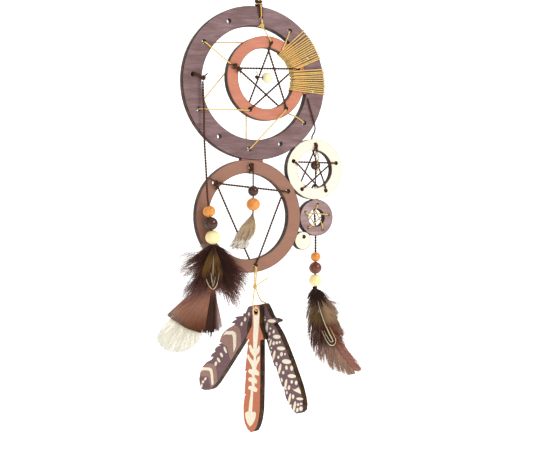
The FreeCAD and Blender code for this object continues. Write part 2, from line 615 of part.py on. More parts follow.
# pendant cord behind the small ring
RIGHT = [(43.6, -0.9, -66.2), (44.0, 2.2, -66.4), (44.5, 4.5, -68.2), (45.3, 4.5, -75.5), (47.0, 4.5, -90.0),
         (47.3, 4.3, -106.5), (46.7, 4.3, -135.6)]
feature("right_cord", tube(RIGHT, CR, None, "right_cord"))
rdir = tuple(RIGHT[5][k] - RIGHT[6][k] for k in range(3))
bead("right_bead_top", along(RIGHT[5], RIGHT[6], -114.2), rdir, "br_top_rad")
bead("right_bead_middle", along(RIGHT[5], RIGHT[6], -121.6), rdir, "br_mid_rad")
bead("right_bead_low", along(RIGHT[5], RIGHT[6], -130.0), rdir, "br_low_rad")
feature("right_binding", Part.makeCone(1.5, 1.9, 4.4, Vector(46.7, 4.3, -140.6), Vector(0, 0, 1)))
plume("right_feather", [(45.6, -141.0), (47.8, -141.0), (56, -146), (64, -158), (68, -172), (73, -182), (84, -193), (82, -196),
                        (72, -194), (60, -193), (51, -188), (44, -176), (41.5, -160), (43, -148)], 4.3, PT)

# ---------------------------------------------------------------- wooden feathers
yaw = math.radians(V["wood_yaw"])
NRM = Vector(-math.sin(yaw), -math.cos(yaw), 0)          # the plates' painted side
SIDE = Vector(math.cos(yaw), -math.sin(yaw), 0)          # to the right, seen from the painted side
UP = Vector(0, 0, 1)
PIVOT = Vector(0.4, -3.2, -149.2)
# depth of each plate behind the front one, and how far its hole is aside and above the pivot line
STACK = {"left": 11.8, "centre": 0.0, "right": 5.9}
SHIFT = {"left": (-1.74, 1.3), "centre": (1.8, 0.3), "right": (0.03, 0.8)}
TILT = {"left": -34.9, "centre": -2.1, "right": 19.8}


def hole_centre(key):
    """Middle of a plate's hole."""
    return PIVOT.add(NRM * (-STACK[key])).add(SIDE * SHIFT[key][0]).add(UP * SHIFT[key][1])


# outlines as (side, up) from the hole, plates hanging straight down
OUT = {
    "left": [(-9.8, -6.2), (-8.6, -4.2), (-6.6, -2), (-4.2, 0.2), (-1.8, 1.8), (0.7, 2.4), (2.6, 1.4), (3.3, -0.6), (2.4, -2.7),
             (-0.1, -4.9), (-2.7, -6.8), (-4.4, -8.8), (-4.7, -11.6), (-4.1, -14.3), (-3.1, -16.9), (-0.1, -21.2), (0, -23.3),
             (-0, -30.3), (-0.4, -40.9), (-0.9, -56.4), (-1.4, -65.4), (-2.2, -70.1), (-3.7, -72.9), (-6.9, -75.7), (-9.4, -76.5),
             (-12, -75.2), (-14.8, -71.9), (-16.9, -66.9), (-17.1, -62.6), (-16.2, -58.6), (-13.9, -54.3), (-13.5, -51.8),
             (-15.6, -53.6), (-15.9, -51.1), (-14.3, -47.6), (-15.8, -47.4), (-15.3, -44.1), (-13.3, -41.5), (-15.5, -42.9),
             (-13.1, -38.9), (-15.3, -40.6), (-16.1, -37.7), (-16, -35.1), (-15.3, -30.5), (-14.2, -27.2), (-12.5, -24.1),
             (-11.9, -21.6), (-14.8, -23.8), (-14.1, -21), (-12.7, -18.5), (-14.8, -18.3), (-12, -15.5), (-9.3, -13.6), (-10.6, -12.1),
             (-9.1, -12), (-9.2, -10.2)],
    "centre": [(-3, 0.2), (-2.9, 2.3), (-1.8, 3.6), (-0, 4.4), (1.6, 4.5), (2.7, 3.8), (3.2, -2.3), (3.2, -7.9), (4.3, -11), (5.8, -14),
             (6.8, -17.4), (4.2, -18.2), (4.5, -26.2), (4.9, -36.1), (5.2, -46.7), (5.3, -55.9), (5.4, -63.7), (4.6, -70.2), (3.2, -75),
             (1.2, -78.4), (-1.3, -79.4), (-4.1, -77.5), (-6.5, -73.9), (-7.6, -69), (-7.9, -62.6), (-7.1, -56), (-5.6, -54.4),
             (-7.4, -55.1), (-7.1, -48.9), (-6.8, -44.5), (-5.9, -42.6), (-6.9, -43.8), (-6.6, -40.2), (-5.7, -39.5), (-7.4, -39.7),
             (-6.9, -34.5), (-6.3, -28.7), (-5.8, -23), (-6.2, -21.2), (-4.5, -18.7), (-7.2, -18.4), (-6.4, -16.2), (-4.7, -13.2),
             (-3.4, -10.6), (-2.8, -8.9), (-2.8, -4.2)],
    "right": [(-1.9, 1.4), (-1.1, 2.7), (0.4, 3), (2, 3.1), (3.3, 3.2), (5.2, 3), (6, 1.7), (6.7, -1.5), (7.3, -5.5), (8.1, -7.8),
             (10.5, -8.9), (12.2, -10), (12.7, -11), (11.7, -11.7), (9.5, -11.5), (8.1, -11.8), (9.2, -14.8), (10.7, -20), (12, -29.1),
             (13, -38.9), (13.6, -48.4), (14, -55.9), (13.6, -62.8), (12.8, -67.6), (11, -70.8), (8.5, -71.8), (5.9, -71.4), (4, -69.3),
             (2.8, -65.2), (1.2, -60), (1.5, -56.3), (2.5, -51.5), (1.1, -52.3), (0.7, -49.4), (0.5, -43.7), (0.5, -39.8), (0.9, -38),
             (-0.5, -38.3), (-0.7, -30.9), (-0.8, -24.3), (-0.8, -20.4), (-1.5, -17.2), (-1.7, -13.7), (-1.6, -9.6), (-1.7, -6.2),
             (-2.3, -3.2), (-2.7, -0.7)],
}
for key in ("left", "centre", "right"):
    rot = Rotation(NRM, TILT[key])      # about the plate's own normal
    base = hole_centre(key)
    pts = []
    for s, u in OUT[key]:
        v = SIDE * s + UP * u
        pts.append(base.add(rot.multVec(v)).add(NRM * (T / 2)))
    face = Part.Face(Part.makePolygon(pts + [pts[0]]))
    plate = face.extrude(NRM * (-T))
    bore = Part.makeCylinder(V["wood_hole"], T + 4, base.add(NRM * (T / 2 + 2)), NRM * -1)
    feature("wooden_feather_" + key, one(plate.cut(bore)))
    c = plate.CenterOfMass
    print("wooden_feather_" + key, "hole", [round(v, 2) for v in base.add(OFF)], "volume", round(plate.Volume),
          "centre of mass", [round(v, 1) for v in c.add(OFF)])

# gold thread: out of the lowest hole of the lower ring, over its rim
l4g = shifted(L["L4"], LC, -0.62)
gold_tie = tube([(l4g[0], HALF - 0.6, l4g[1]), (l4g[0], FG, l4g[1]), (0.15, FG, -123.2)], GR, 0.95)
feature("gold_tie", gold_tie)
# hanging part: one strand to the knot, then a loop that goes slanting through
# the three holes and back over the two rear plates
def in_stack(depth, side, up):
    return PIVOT.add(NRM * (T / 2 - depth)).add(SIDE * side).add(UP * up)


pa = in_stack(-1.0, -1.0, 3.8)
pl = in_stack(-1.0, 2.9, 0.8)
pr = in_stack(18.4, -2.92, 0.8)
pb = in_stack(18.4, -2.92, 5.2)
pc = in_stack(6.2, 0.57, 6.5)
KN = Vector(-0.4, FG - 0.2, -132.9)
thread = tube([(0.1, FG, -123.7), (KN.x, KN.y, KN.z)], GR)
loop_pts = [(KN.x - 0.3, KN.y, KN.z)] + [(p.x, p.y, p.z) for p in (pa, pl, pr, pb, pc)] + [(KN.x + 0.4, KN.y + 0.1, KN.z - 0.1)]
loop_tube = tube(loop_pts, GR, 1.1)
print("feather thread loop", loop_tube.isValid(), len(loop_tube.Solids), round(loop_tube.Volume, 2))
thread = thread.fuse(ball(KN.x, KN.y, KN.z, 1.1, 1.0, 1.5))
thread = one(thread.fuse(loop_tube))
feature("feather_thread", thread)

# ---------------------------------------------------------------- checks, export
doc.recompute()
bad = []
for obj in doc.Objects:
    if "Invalid" in obj.State or "Error" in obj.State:
        bad.append((obj.Name, list(obj.State)))
for name, obj in nodes.items():
    sh = obj.Shape
    if sh.isNull() or not sh.isValid() or sh.Volume <= 0:
        bad.append((name, "shape"))
if bad:
    raise RuntimeError("failed objects: %r" % bad)
os.makedirs("parts", exist_ok=True)
for name, obj in nodes.items():
    obj.Shape.exportStep(os.path.join("parts", name + ".step"))
    bb = obj.Shape.BoundBox
    print("%-24s solids %d volume %9.1f  x %.1f..%.1f y %.1f..%.1f z %.1f..%.1f" % (
        name, len(obj.Shape.Solids), obj.Shape.Volume, bb.XMin, bb.XMax, bb.YMin, bb.YMax, bb.ZMin, bb.ZMax))
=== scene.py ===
# Looks of the dream catcher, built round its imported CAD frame.  Metres in
# the row frame; the helper W() takes millimetres in the main ring's own axes.
import bpy
import math
import random
import numpy as np
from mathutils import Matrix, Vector


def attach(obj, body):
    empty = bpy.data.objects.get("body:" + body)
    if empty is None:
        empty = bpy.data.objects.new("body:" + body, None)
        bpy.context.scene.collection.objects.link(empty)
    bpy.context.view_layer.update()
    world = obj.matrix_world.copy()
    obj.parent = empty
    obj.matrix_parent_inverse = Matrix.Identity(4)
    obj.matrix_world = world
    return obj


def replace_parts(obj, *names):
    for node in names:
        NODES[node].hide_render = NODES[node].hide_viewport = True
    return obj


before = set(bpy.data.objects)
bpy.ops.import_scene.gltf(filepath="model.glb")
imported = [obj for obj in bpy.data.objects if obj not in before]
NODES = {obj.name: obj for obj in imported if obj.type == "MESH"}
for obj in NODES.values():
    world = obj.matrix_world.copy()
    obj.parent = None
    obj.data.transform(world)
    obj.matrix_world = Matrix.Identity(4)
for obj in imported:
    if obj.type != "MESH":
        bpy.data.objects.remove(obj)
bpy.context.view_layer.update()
HALF = 2.65


def W(x, y, z):
    return ((x - 3.9) / 1000.0, y / 1000.0, (z - 86.0) / 1000.0)


def WA(pts):
    return np.array([W(*p) for p in pts], float)


# ------------------------------------------------------------------ camera
scene = bpy.context.scene
scene.view_settings.view_transform = "Standard"
cam_data = bpy.data.cameras.new("camera")
cam_data.sensor_fit = "HORIZONTAL"
cam_data.sensor_width = 36.0
cam_data.lens = 81.05
cam_data.clip_start = 0.01
cam_data.clip_end = 50.0
cam = bpy.data.objects.new("camera", cam_data)
scene.collection.objects.link(cam)
YAW, PITCH = 0.409113, 0.0216357
cam.location = (-0.30875, -0.72445, -0.1700)
look = Vector((math.cos(PITCH) * math.sin(YAW), math.cos(PITCH) * math.cos(YAW), -math.sin(PITCH)))
cam.rotation_euler = look.to_track_quat("-Z", "Y").to_euler()
scene.camera = cam


# ------------------------------------------------------------------ node helpers
class Shader:
    def __init__(self, name, rough=0.6, metallic=0.0, color=(0.5, 0.5, 0.5)):
        self.mat = bpy.data.materials.new(name)
        self.mat.use_nodes = True
        self.nt = self.mat.node_tree
        self.nt.nodes.clear()
        out = self.nt.nodes.new("ShaderNodeOutputMaterial")
        self.b = self.nt.nodes.new("ShaderNodeBsdfPrincipled")
        self.nt.links.new(self.b.outputs[0], out.inputs[0])
        self.set("Roughness", rough)
        self.set("Metallic", metallic)
        self.set("Base Color", (*color, 1))
        self.tc = self.nt.nodes.new("ShaderNodeTexCoord")

    def set(self, socket, value):
        self.b.inputs[socket].default_value = value

    def link(self, a, b):
        self.nt.links.new(a, b)

    def put(self, sock, v):
        if hasattr(v, "links") or hasattr(v, "is_linked"):
            self.link(v, sock)
        elif isinstance(v, (tuple, list)) and len(v) == 3 and sock.type == "RGBA":
            sock.default_value = (*v, 1)
        else:
            sock.default_value = v

    def mapped(self, scale, rot=(0, 0, 0), src=None):
        m = self.nt.nodes.new("ShaderNodeMapping")
        m.inputs["Scale"].default_value = scale
        m.inputs["Rotation"].default_value = rot
        self.link(src or self.tc.outputs["Object"], m.inputs["Vector"])
        return m.outputs[0]

    def noise(self, vec, scale, detail=3.0, rough=0.55, dist=0.0):
        n = self.nt.nodes.new("ShaderNodeTexNoise")
        n.inputs["Scale"].default_value = scale
        n.inputs["Detail"].default_value = detail
        n.inputs["Roughness"].default_value = rough
        n.inputs["Distortion"].default_value = dist
        self.link(vec, n.inputs["Vector"])
        return n.outputs["Fac"]

    def ramp(self, fac, stops, interp="LINEAR"):
        r = self.nt.nodes.new("ShaderNodeValToRGB")
        r.color_ramp.interpolation = interp
        els = r.color_ramp.elements
        while len(els) < len(stops):
            els.new(0.5)
        for e, (p, c) in zip(els, stops):
            e.position = p
            e.color = (*c, 1) if isinstance(c, (tuple, list)) else (c, c, c, 1)
        self.link(fac, r.inputs[0])
        return r.outputs[0]

    def mix(self, fac, a, b, mode="MIX"):
        m = self.nt.nodes.new("ShaderNodeMix")
        m.data_type = "RGBA"
        m.blend_type = mode
        self.put(m.inputs[0], fac)
        self.put(m.inputs[6], a)
        self.put(m.inputs[7], b)
        return m.outputs[2]

    def math(self, op, a, b=0.0, c=0.0, clamp=False):
        m = self.nt.nodes.new("ShaderNodeMath")
        m.operation = op
        m.use_clamp = clamp
        self.put(m.inputs[0], a)
        self.put(m.inputs[1], b)
        self.put(m.inputs[2], c)
        return m.outputs[0]

    def xyz(self, vec):
        s = self.nt.nodes.new("ShaderNodeSeparateXYZ")
        self.link(vec, s.inputs[0])
        return s.outputs

    def dot(self, vec, v):
        m = self.nt.nodes.new("ShaderNodeVectorMath")
        m.operation = "DOT_PRODUCT"
        self.link(vec, m.inputs[0])
        m.inputs[1].default_value = v
        return m.outputs["Value"]

    def bump(self, height, strength, distance):
        b = self.nt.nodes.new("ShaderNodeBump")
        b.inputs["Strength"].default_value = strength
        b.inputs["Distance"].default_value = distance
        self.link(height, b.inputs["Height"])
        self.link(b.outputs[0], self.b.inputs["Normal"])


def near(sh, d, width):
    """1 at d = 0, fading to 0 at width (both in metres)."""
    return sh.math("SUBTRACT", 1.0, sh.math("DIVIDE", d, width), clamp=True)


def plywood(name, paint, deep, light, rings=(), normal=(0, 1, 0), grain_rot=0.15, wash=0.5, halo=0.0, rough=0.62):
    """Painted laser-cut plywood: stained, brushed faces, scorched edges and
    charred layered walls.  rings: (x, z, outer radius, inner radius) in mm."""
    s = Shader(name, rough=rough)
    obj = s.tc.outputs["Object"]
    # stain with grain and mottling
    fine = s.noise(s.mapped((90, 90, 900), (0, grain_rot, 0)), 1.0, 5.0, 0.62, 0.35)
    wave = s.noise(s.mapped((55, 55, 260), (0, grain_rot - 0.5, 0)), 1.0, 3.0, 0.55, 0.8)
    patch = s.noise(obj, 42.0, 2.0, 0.5, 0.2)
    speck = s.noise(obj, 900.0, 2.0, 0.6)
    c = s.mix(s.math("MULTIPLY", s.ramp(fine, [(0.32, 0.0), (0.68, 1.0)]), wash), paint, light)
    c = s.mix(s.math("MULTIPLY", s.ramp(wave, [(0.35, 0.0), (0.7, 1.0)]), wash * 0.9), c, deep)
    c = s.mix(s.math("MULTIPLY", s.ramp(patch, [(0.4, 0.0), (0.72, 1.0)]), wash * 0.55), c, deep)
    c = s.mix(s.math("MULTIPLY", s.ramp(speck, [(0.6, 0.0), (0.78, 1.0)]), 0.18), c, light)
    x, y, z = s.xyz(obj)
    edge = None
    for cx, cz, ro, ri in rings:
        wx, _, wz = W(cx, 0, cz)
        dx = s.math("SUBTRACT", x, wx)
        dz = s.math("SUBTRACT", z, wz)
        d = s.math("SQRT", s.math("ADD", s.math("MULTIPLY", dx, dx), s.math("MULTIPLY", dz, dz)))
        for val in ((ro, 1), (ri, -1)):
            if not val[0]:
                continue
            g = s.math("ABSOLUTE", s.math("SUBTRACT", d, val[0] / 1000.0))
            e = near(s, g, 0.00075)
            e = s.math("POWER", e, 1.6)
            if halo:
                h = s.math("MULTIPLY", near(s, g, 0.0042), halo)
                e = s.math("MAXIMUM", e, h)
            edge = e if edge is None else s.math("MAXIMUM", edge, e)
    if edge is not None:
        jit = s.ramp(s.noise(obj, 160.0, 3.0), [(0.3, 0.35), (0.7, 1.0)])
        c = s.mix(s.math("MULTIPLY", s.math("MULTIPLY", edge, jit), 0.9), c, (0.035, 0.016, 0.009))
    # walls: three plies, charred by the cut
    across = s.dot(obj, normal) if abs(normal[1]) < 0.99 else y
    layer = s.math("FRACT", s.math("ADD", s.math("MULTIPLY", across, 1000.0 / 1.78), 0.5))
    seam = s.math("POWER", s.math("ABSOLUTE", s.math("SUBTRACT", s.math("MULTIPLY", layer, 2.0), 1.0)), 6.0)
    char = s.noise(s.mapped((160, 160, 160)), 1.0, 4.0, 0.6, 0.5)
    streak = s.noise(s.mapped((380, 70, 380)), 1.0, 3.0, 0.6, 0.2)
    wall = s.mix(s.ramp(char, [(0.42, 0.0), (0.7, 1.0)]), (0.012, 0.005, 0.0025), (0.060, 0.024, 0.007))
    wall = s.mix(s.math("MULTIPLY", s.ramp(streak, [(0.5, 0.0), (0.75, 1.0)]), 0.6), wall, (0.19, 0.088, 0.020))
    wall = s.mix(s.math("MULTIPLY", seam, 0.8), wall, (0.006, 0.003, 0.002))
    nrm = s.math("ABSOLUTE", s.dot(s.tc.outputs["Normal"], normal))
    face = s.ramp(nrm, [(0.80, 0.0), (0.93, 1.0)])
    s.link(s.mix(face, wall, c), s.b.inputs["Base Color"])
    hgt = s.math("ADD", s.math("MULTIPLY", fine, 0.7), s.math("MULTIPLY", speck, 0.3))
    s.bump(hgt, 0.35, 0.00012)
    s.set("Specular IOR Level", 0.14)
    return s.mat


def lacquered(name, base, dark, rough=0.3, coat=0.7, metallic=0.0, streak=0.55):
    """Turned wooden bead under clear lacquer; the grain runs along the bore."""
    s = Shader(name, rough=rough, metallic=metallic)
    n = s.noise(s.mapped((900, 900, 170)), 1.0, 4.0, 0.6, 0.6)
    w = s.noise(s.mapped((260, 260, 60)), 1.0, 2.0, 0.5, 0.3)
    c = s.mix(s.math("MULTIPLY", s.ramp(n, [(0.38, 0.0), (0.66, 1.0)]), streak), base, dark)
    c = s.mix(s.math("MULTIPLY", s.ramp(w, [(0.4, 0.0), (0.7, 1.0)]), streak * 0.7), c, dark)
    x, y, z = s.xyz(s.tc.outputs["Object"])
    r = s.math("SQRT", s.math("ADD", s.math("MULTIPLY", x, x), s.math("MULTIPLY", y, y)))
    # painted shade: the bore and the lip round it are darkened towards the bead's axis
    c = s.mix(s.math("MULTIPLY", near(s, s.math("MAXIMUM", s.math("SUBTRACT", r, 0.0009), 0.0), 0.0011), 0.65), c, tuple(v * 0.3 for v in dark))
    s.link(c, s.b.inputs["Base Color"])
    s.set("Coat Weight", coat * 0.45)
    s.set("Coat Roughness", 0.10)
    s.set("Specular IOR Level", 0.2)
    s.bump(n, 0.15, 0.00008)
    return s.mat


def spun(name, a, b, metallic, rough, sheen=0.0, scale=2600.0):
    """Thread or cord fibre."""
    s = Shader(name, rough=rough, metallic=metallic)
    n = s.noise(s.tc.outputs["Object"], scale, 3.0, 0.65, 0.4)
    w = s.noise(s.tc.outputs["Object"], scale * 0.12, 2.0, 0.5)
    c = s.mix(s.ramp(n, [(0.36, 0.0), (0.66, 1.0)]), a, b)
    c = s.mix(s.math("MULTIPLY", s.ramp(w, [(0.35, 0.0), (0.7, 1.0)]), 0.45), c, b)
    s.link(c, s.b.inputs["Base Color"])
    if sheen:
        s.set("Sheen Weight", sheen * 0.15)
    s.set("Specular IOR Level", 0.15)
    s.bump(n, 0.5, 0.0001)
    return s.mat


def plumage(name, rough=0.62, sheen=0.25):
    """Feather: the colour of each barb is stored on its points."""
    s = Shader(name, rough=rough)
    a = s.nt.nodes.new("ShaderNodeAttribute")
    a.attribute_name = "tint"
    n = s.noise(s.tc.outputs["Object"], 1400.0, 2.0, 0.6)
    c = s.mix(s.ramp(n, [(0.3, 0.0), (0.7, 0.28)]), a.outputs["Color"], (0.02, 0.012, 0.008))
    s.link(c, s.b.inputs["Base Color"])
    s.set("Sheen Weight", sheen * 0.08)
    s.set("Specular IOR Level", 0.06)
    return s.mat


MAT = {
    "mauve": plywood("ring_mauve", (0.185, 0.108, 0.112), (0.105, 0.055, 0.055), (0.30, 0.205, 0.205),
                     [(0, 0, 50.0, 37.0)], grain_rot=0.5, wash=0.75),
    "terracotta": plywood("ring_terracotta", (0.49, 0.180, 0.110), (0.36, 0.115, 0.066), (0.60, 0.285, 0.20),
                          [(8.1, 3.4, 27.6, 20.0)], grain_rot=0.3, wash=0.45),
    "milk": plywood("ring_milk_brown", (0.285, 0.145, 0.100), (0.225, 0.105, 0.070), (0.34, 0.185, 0.13),
                    [(-4.3, -86.8, 36.8, 28.1)], grain_rot=0.1, wash=0.32),
    "cream": plywood("ring_cream", (0.81, 0.74, 0.61), (0.74, 0.64, 0.47), (0.90, 0.82, 0.68),
                     [(43.2, -55.4, 20.1, 12.7)], grain_rot=0.0, wash=0.4, halo=0.10),
    "plum": plywood("ring_plum", (0.30, 0.200, 0.190), (0.19, 0.110, 0.105), (0.45, 0.34, 0.33),
                    [(44.5, -87.7, 12.15, 5.8)], grain_rot=0.9, wash=0.75),
    "disc": plywood("disc_cream", (0.86, 0.76, 0.59), (0.78, 0.63, 0.42), (0.92, 0.85, 0.72),
                    [(34.7, -103.0, 6.05, None)], grain_rot=0.2, wash=0.35, halo=0.08),
    "orange": lacquered("bead_orange", (0.76, 0.31, 0.060), (0.46, 0.13, 0.022), rough=0.28),
    "dark": lacquered("bead_dark", (0.070, 0.021, 0.008), (0.012, 0.004, 0.003), rough=0.2, coat=1.0),
    "redbrown": lacquered("bead_red_brown", (0.19, 0.052, 0.022), (0.05, 0.013, 0.008), rough=0.26, coat=0.9),
    "creambead": lacquered("bead_cream", (0.92, 0.78, 0.42), (0.80, 0.58, 0.22), rough=0.42, coat=0.35, streak=0.4),
    "pearl": lacquered("bead_pearl", (0.84, 0.76, 0.50), (0.74, 0.62, 0.36), rough=0.22, coat=0.8, streak=0.3),
    "gold": spun("gold_thread", (0.90, 0.66, 0.24), (0.56, 0.35, 0.09), 0.2, 0.45, 0.2),
    "brown": spun("brown_cord", (0.125, 0.044, 0.018), (0.026, 0.009, 0.004), 0.0, 0.78, 0.35, 1900.0),
    "feather": plumage("feather_barbs"),
    "down": plumage("feather_down", rough=0.8, sheen=0.5),
    "binding": spun("binding_thread", (0.055, 0.026, 0.018), (0.012, 0.006, 0.005), 0.0, 0.8, 0.3, 1900.0),
}


def chalk(name, a, b):
    s = Shader(name, rough=0.7)
    n = s.noise(s.tc.outputs["Object"], 700.0, 4.0, 0.6, 0.3)
    s.link(s.mix(s.ramp(n, [(0.35, 0.0), (0.72, 1.0)]), a, b), s.b.inputs["Base Color"])
    s.set("Specular IOR Level", 0.2)
    s.bump(n, 0.3, 0.0001)
    return s.mat


MAT["mark_cream"] = chalk("paint_cream", (0.90, 0.83, 0.68), (0.80, 0.69, 0.50))
MAT["mark_taupe"] = chalk("paint_taupe", (0.36, 0.215, 0.175), (0.30, 0.17, 0.135))
WYAW = math.radians(59.0)
NRM = (-math.sin(WYAW), -math.cos(WYAW), 0.0)
MAT["wood_plum"] = plywood("painted_plum", (0.185, 0.105, 0.115), (0.125, 0.066, 0.072), (0.25, 0.155, 0.165),
                           normal=NRM, grain_rot=1.4, wash=0.35)
MAT["wood_terra"] = plywood("painted_terracotta", (0.53, 0.175, 0.090), (0.42, 0.125, 0.060), (0.62, 0.25, 0.15),
                            normal=NRM, grain_rot=1.4, wash=0.35)


def dress(node, mat):
    o = NODES[node]
    o.data.materials.clear()
    o.data.materials.append(mat)


for node, key in (("main_ring", "mauve"), ("inner_ring", "terracotta"), ("lower_ring", "milk"), ("cream_ring", "cream"),
                  ("small_ring", "plum"), ("tiny_disc", "disc"), ("wooden_feather_left", "wood_plum"),
                  ("wooden_feather_centre", "wood_terra"), ("wooden_feather_right", "wood_plum")):
    dress(node, MAT[key])


# ------------------------------------------------------------------ geometry helpers
def add_mesh(name, verts, faces, mats, body=None, tint=None, mat_index=None, smooth=True):
    me = bpy.data.meshes.new(name)
    me.from_pydata([tuple(v) for v in verts], [], faces)
    for m in (mats if isinstance(mats, (list, tuple)) else [mats]):
        me.materials.append(m)
    if smooth:
        me.polygons.foreach_set("use_smooth", [True] * len(me.polygons))
    if mat_index is not None:
        me.polygons.foreach_set("material_index", mat_index)
    if tint is not None:
        at = me.attributes.new("tint", "FLOAT_COLOR", "POINT")
        arr = np.ones((len(verts), 4), np.float32)
        arr[:, :3] = np.asarray(tint, np.float32)
        at.data.foreach_set("color", arr.ravel())
    me.update()
    ob = bpy.data.objects.new(name, me)
    scene.collection.objects.link(ob)
    if body:
        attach(ob, body)
    return ob


def nurbs_line(name, pts, res=30):
    """Points of the smooth NURBS line that has pts (metres) as control points."""
    cu = bpy.data.curves.new(name + "_line", "CURVE")
    cu.dimensions = "3D"
    cu.resolution_u = res
    sp = cu.splines.new("NURBS")
    sp.points.add(len(pts) - 1)
    for p, c in zip(sp.points, pts):
        p.co = (c[0], c[1], c[2], 1.0)
    sp.order_u = 3
    sp.use_endpoint_u = True
    ob = bpy.data.objects.new(name + "_line", cu)
    scene.collection.objects.link(ob)
    bpy.context.view_layer.update()
    me = bpy.data.meshes.new_from_object(ob)
    out = np.array([v.co[:] for v in me.vertices], float)
    bpy.data.meshes.remove(me)
    bpy.data.objects.remove(ob)
    bpy.data.curves.remove(cu)
    return out


def respace(line, step):
    seg = np.linalg.norm(np.diff(line, axis=0), axis=1)
    keep = np.concatenate([[True], seg > 1e-9])
    line = line[keep]
    seg = np.linalg.norm(np.diff(line, axis=0), axis=1)
    s = np.concatenate([[0], np.cumsum(seg)])
    n = max(3, int(round(s[-1] / step)) + 1)
    t = np.linspace(0, s[-1], n)
    return np.stack([np.interp(t, s, line[:, k]) for k in range(3)], 1), t


def frames(line):
    tan = np.gradient(line, axis=0)
    tan /= np.maximum(np.linalg.norm(tan, axis=1), 1e-12)[:, None]
    ref = np.array([0.0, 1.0, 0.0]) if abs(tan[0][1]) < 0.9 else np.array([1.0, 0.0, 0.0])
    u = np.cross(tan[0], ref)
    u /= np.linalg.norm(u)
    us = [u]
    for k in range(1, len(line)):
        u = us[-1] - tan[k] * np.dot(us[-1], tan[k])
        u /= max(np.linalg.norm(u), 1e-12)
        us.append(u)
    us = np.array(us)
    return tan, us, np.cross(tan, us)


class Soup:
    """Collects closed tubes and ribbons for one mesh."""

    def __init__(self):
        self.v, self.f, self.m, self.c, self.n = [], [], [], [], 0

    def tube(self, line, radius, seg=6, mat=0, tint=None, fr=None, flat=1.0):
        tan, u, w = fr or frames(line)
        n = len(line)
        rad = np.broadcast_to(np.asarray(radius, float), (n,))
        a = np.arange(seg) * 2 * math.pi / seg
        ring = line[:, None, :] + rad[:, None, None] * (np.cos(a)[None, :, None] * u[:, None, :] + flat * np.sin(a)[None, :, None] * w[:, None, :])
        self.v.append(ring.reshape(-1, 3))
        b = self.n
        for k in range(n - 1):
            for j in range(seg):
                j2 = (j + 1) % seg
                self.f.append((b + k * seg + j, b + k * seg + j2, b + (k + 1) * seg + j2, b + (k + 1) * seg + j))
                self.m.append(mat)
        self.f.append(tuple(b + j for j in range(seg - 1, -1, -1)))
        self.f.append(tuple(b + (n - 1) * seg + j for j in range(seg)))
        self.m += [mat, mat]
        if tint is not None:
            t = np.asarray(tint, float)
            if t.ndim == 1:
                t = np.broadcast_to(t, (n, 3))
            self.c.append(np.repeat(t, seg, axis=0))
        self.n += n * seg

    def plied(self, line, radius, pitch, step, plies=2, seg=6, mats=None, fuzz=0.0, rng=None):
        p, s = respace(line, step)
        fr = frames(p)
        pr = radius * (0.60 if plies == 2 else 0.52)
        off = radius - pr
        for k in range(plies):
            ang = 2 * math.pi * (s / pitch + k / plies)
            c = p + off * (np.cos(ang)[:, None] * fr[1] + np.sin(ang)[:, None] * fr[2])
            r = np.full(len(p), pr)
            r[0] *= 0.55
            r[-1] *= 0.55
            self.tube(c, r, seg, (mats[k] if mats else 0), fr=fr)

    def make(self, name, mats, body, tint=False):
        return add_mesh(name, np.concatenate(self.v), self.f, mats, body, np.concatenate(self.c) if tint else None, self.m)


def polar(c, rad, deg):
    a = math.radians(deg)
    return c[0] + rad * math.cos(a), c[1] + rad * math.sin(a)


def toward(p, q, amount):
    dx, dz = q[0] - p[0], q[1] - p[1]
    d = math.hypot(dx, dz)
    return p[0] + dx / d * amount, p[1] + dz / d * amount


MC, IC, LC, CC, SC = (0.0, 0.0), (8.1, 3.4), (-4.3, -86.8), (43.2, -55.4), (44.5, -87.7)
H = [polar(MC, 43.2, 84.8 + 30 * k) for k in range(12)]
I = [polar(IC, 23.8, a) for a in (82.5, 164, 240.5, 306, 17.5)]
L1, L2, L3, L4 = (polar(LC, 32.4, a) for a in (88.0, 138.0, 30.5, 278.0))
C = [polar(CC, 16.4, a) for a in (88, 162, 235, 300, 15)]
S = [polar(SC, 9.0, a) for a in (84, 156, 228, 300, 12)]
GR, SR = 0.52, 0.5
FG, BG = -HALF - 0.52, HALF + 0.52


def pass_hole(p, prev, nxt, y0, y1, lead=1.5, shift=0.0, centre=None):
    """Control points of a thread that comes over the ply from prev at depth
    y0, goes through hole p and leaves towards nxt at depth y1."""
    if shift:
        p = toward(p, centre, shift)
    a, b = toward(p, prev, lead), toward(p, nxt, lead)
    return [(a[0], y0, a[1]), (p[0], y0, p[1]), (p[0], y1, p[1]), (b[0], y1, b[1])]


def thread(name, node, pts, radius, body, mat, pitch=None, plies=2, extra=None, mats=None):
    """A thread stitched through the ply; replaces its plain CAD tube."""
    line = nurbs_line(name, WA(pts), 12)
    sp = Soup()
    sp.plied(line, radius / 1000.0, (pitch or radius * 5.2) / 1000.0, radius * 0.62 / 1000.0, plies, 6, mats)
    if extra:
        extra(sp)
    ob = sp.make(name, mat if isinstance(mat, list) else [mat], body)
    if node:
        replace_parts(ob, *([node] if isinstance(node, str) else node))
    return ob


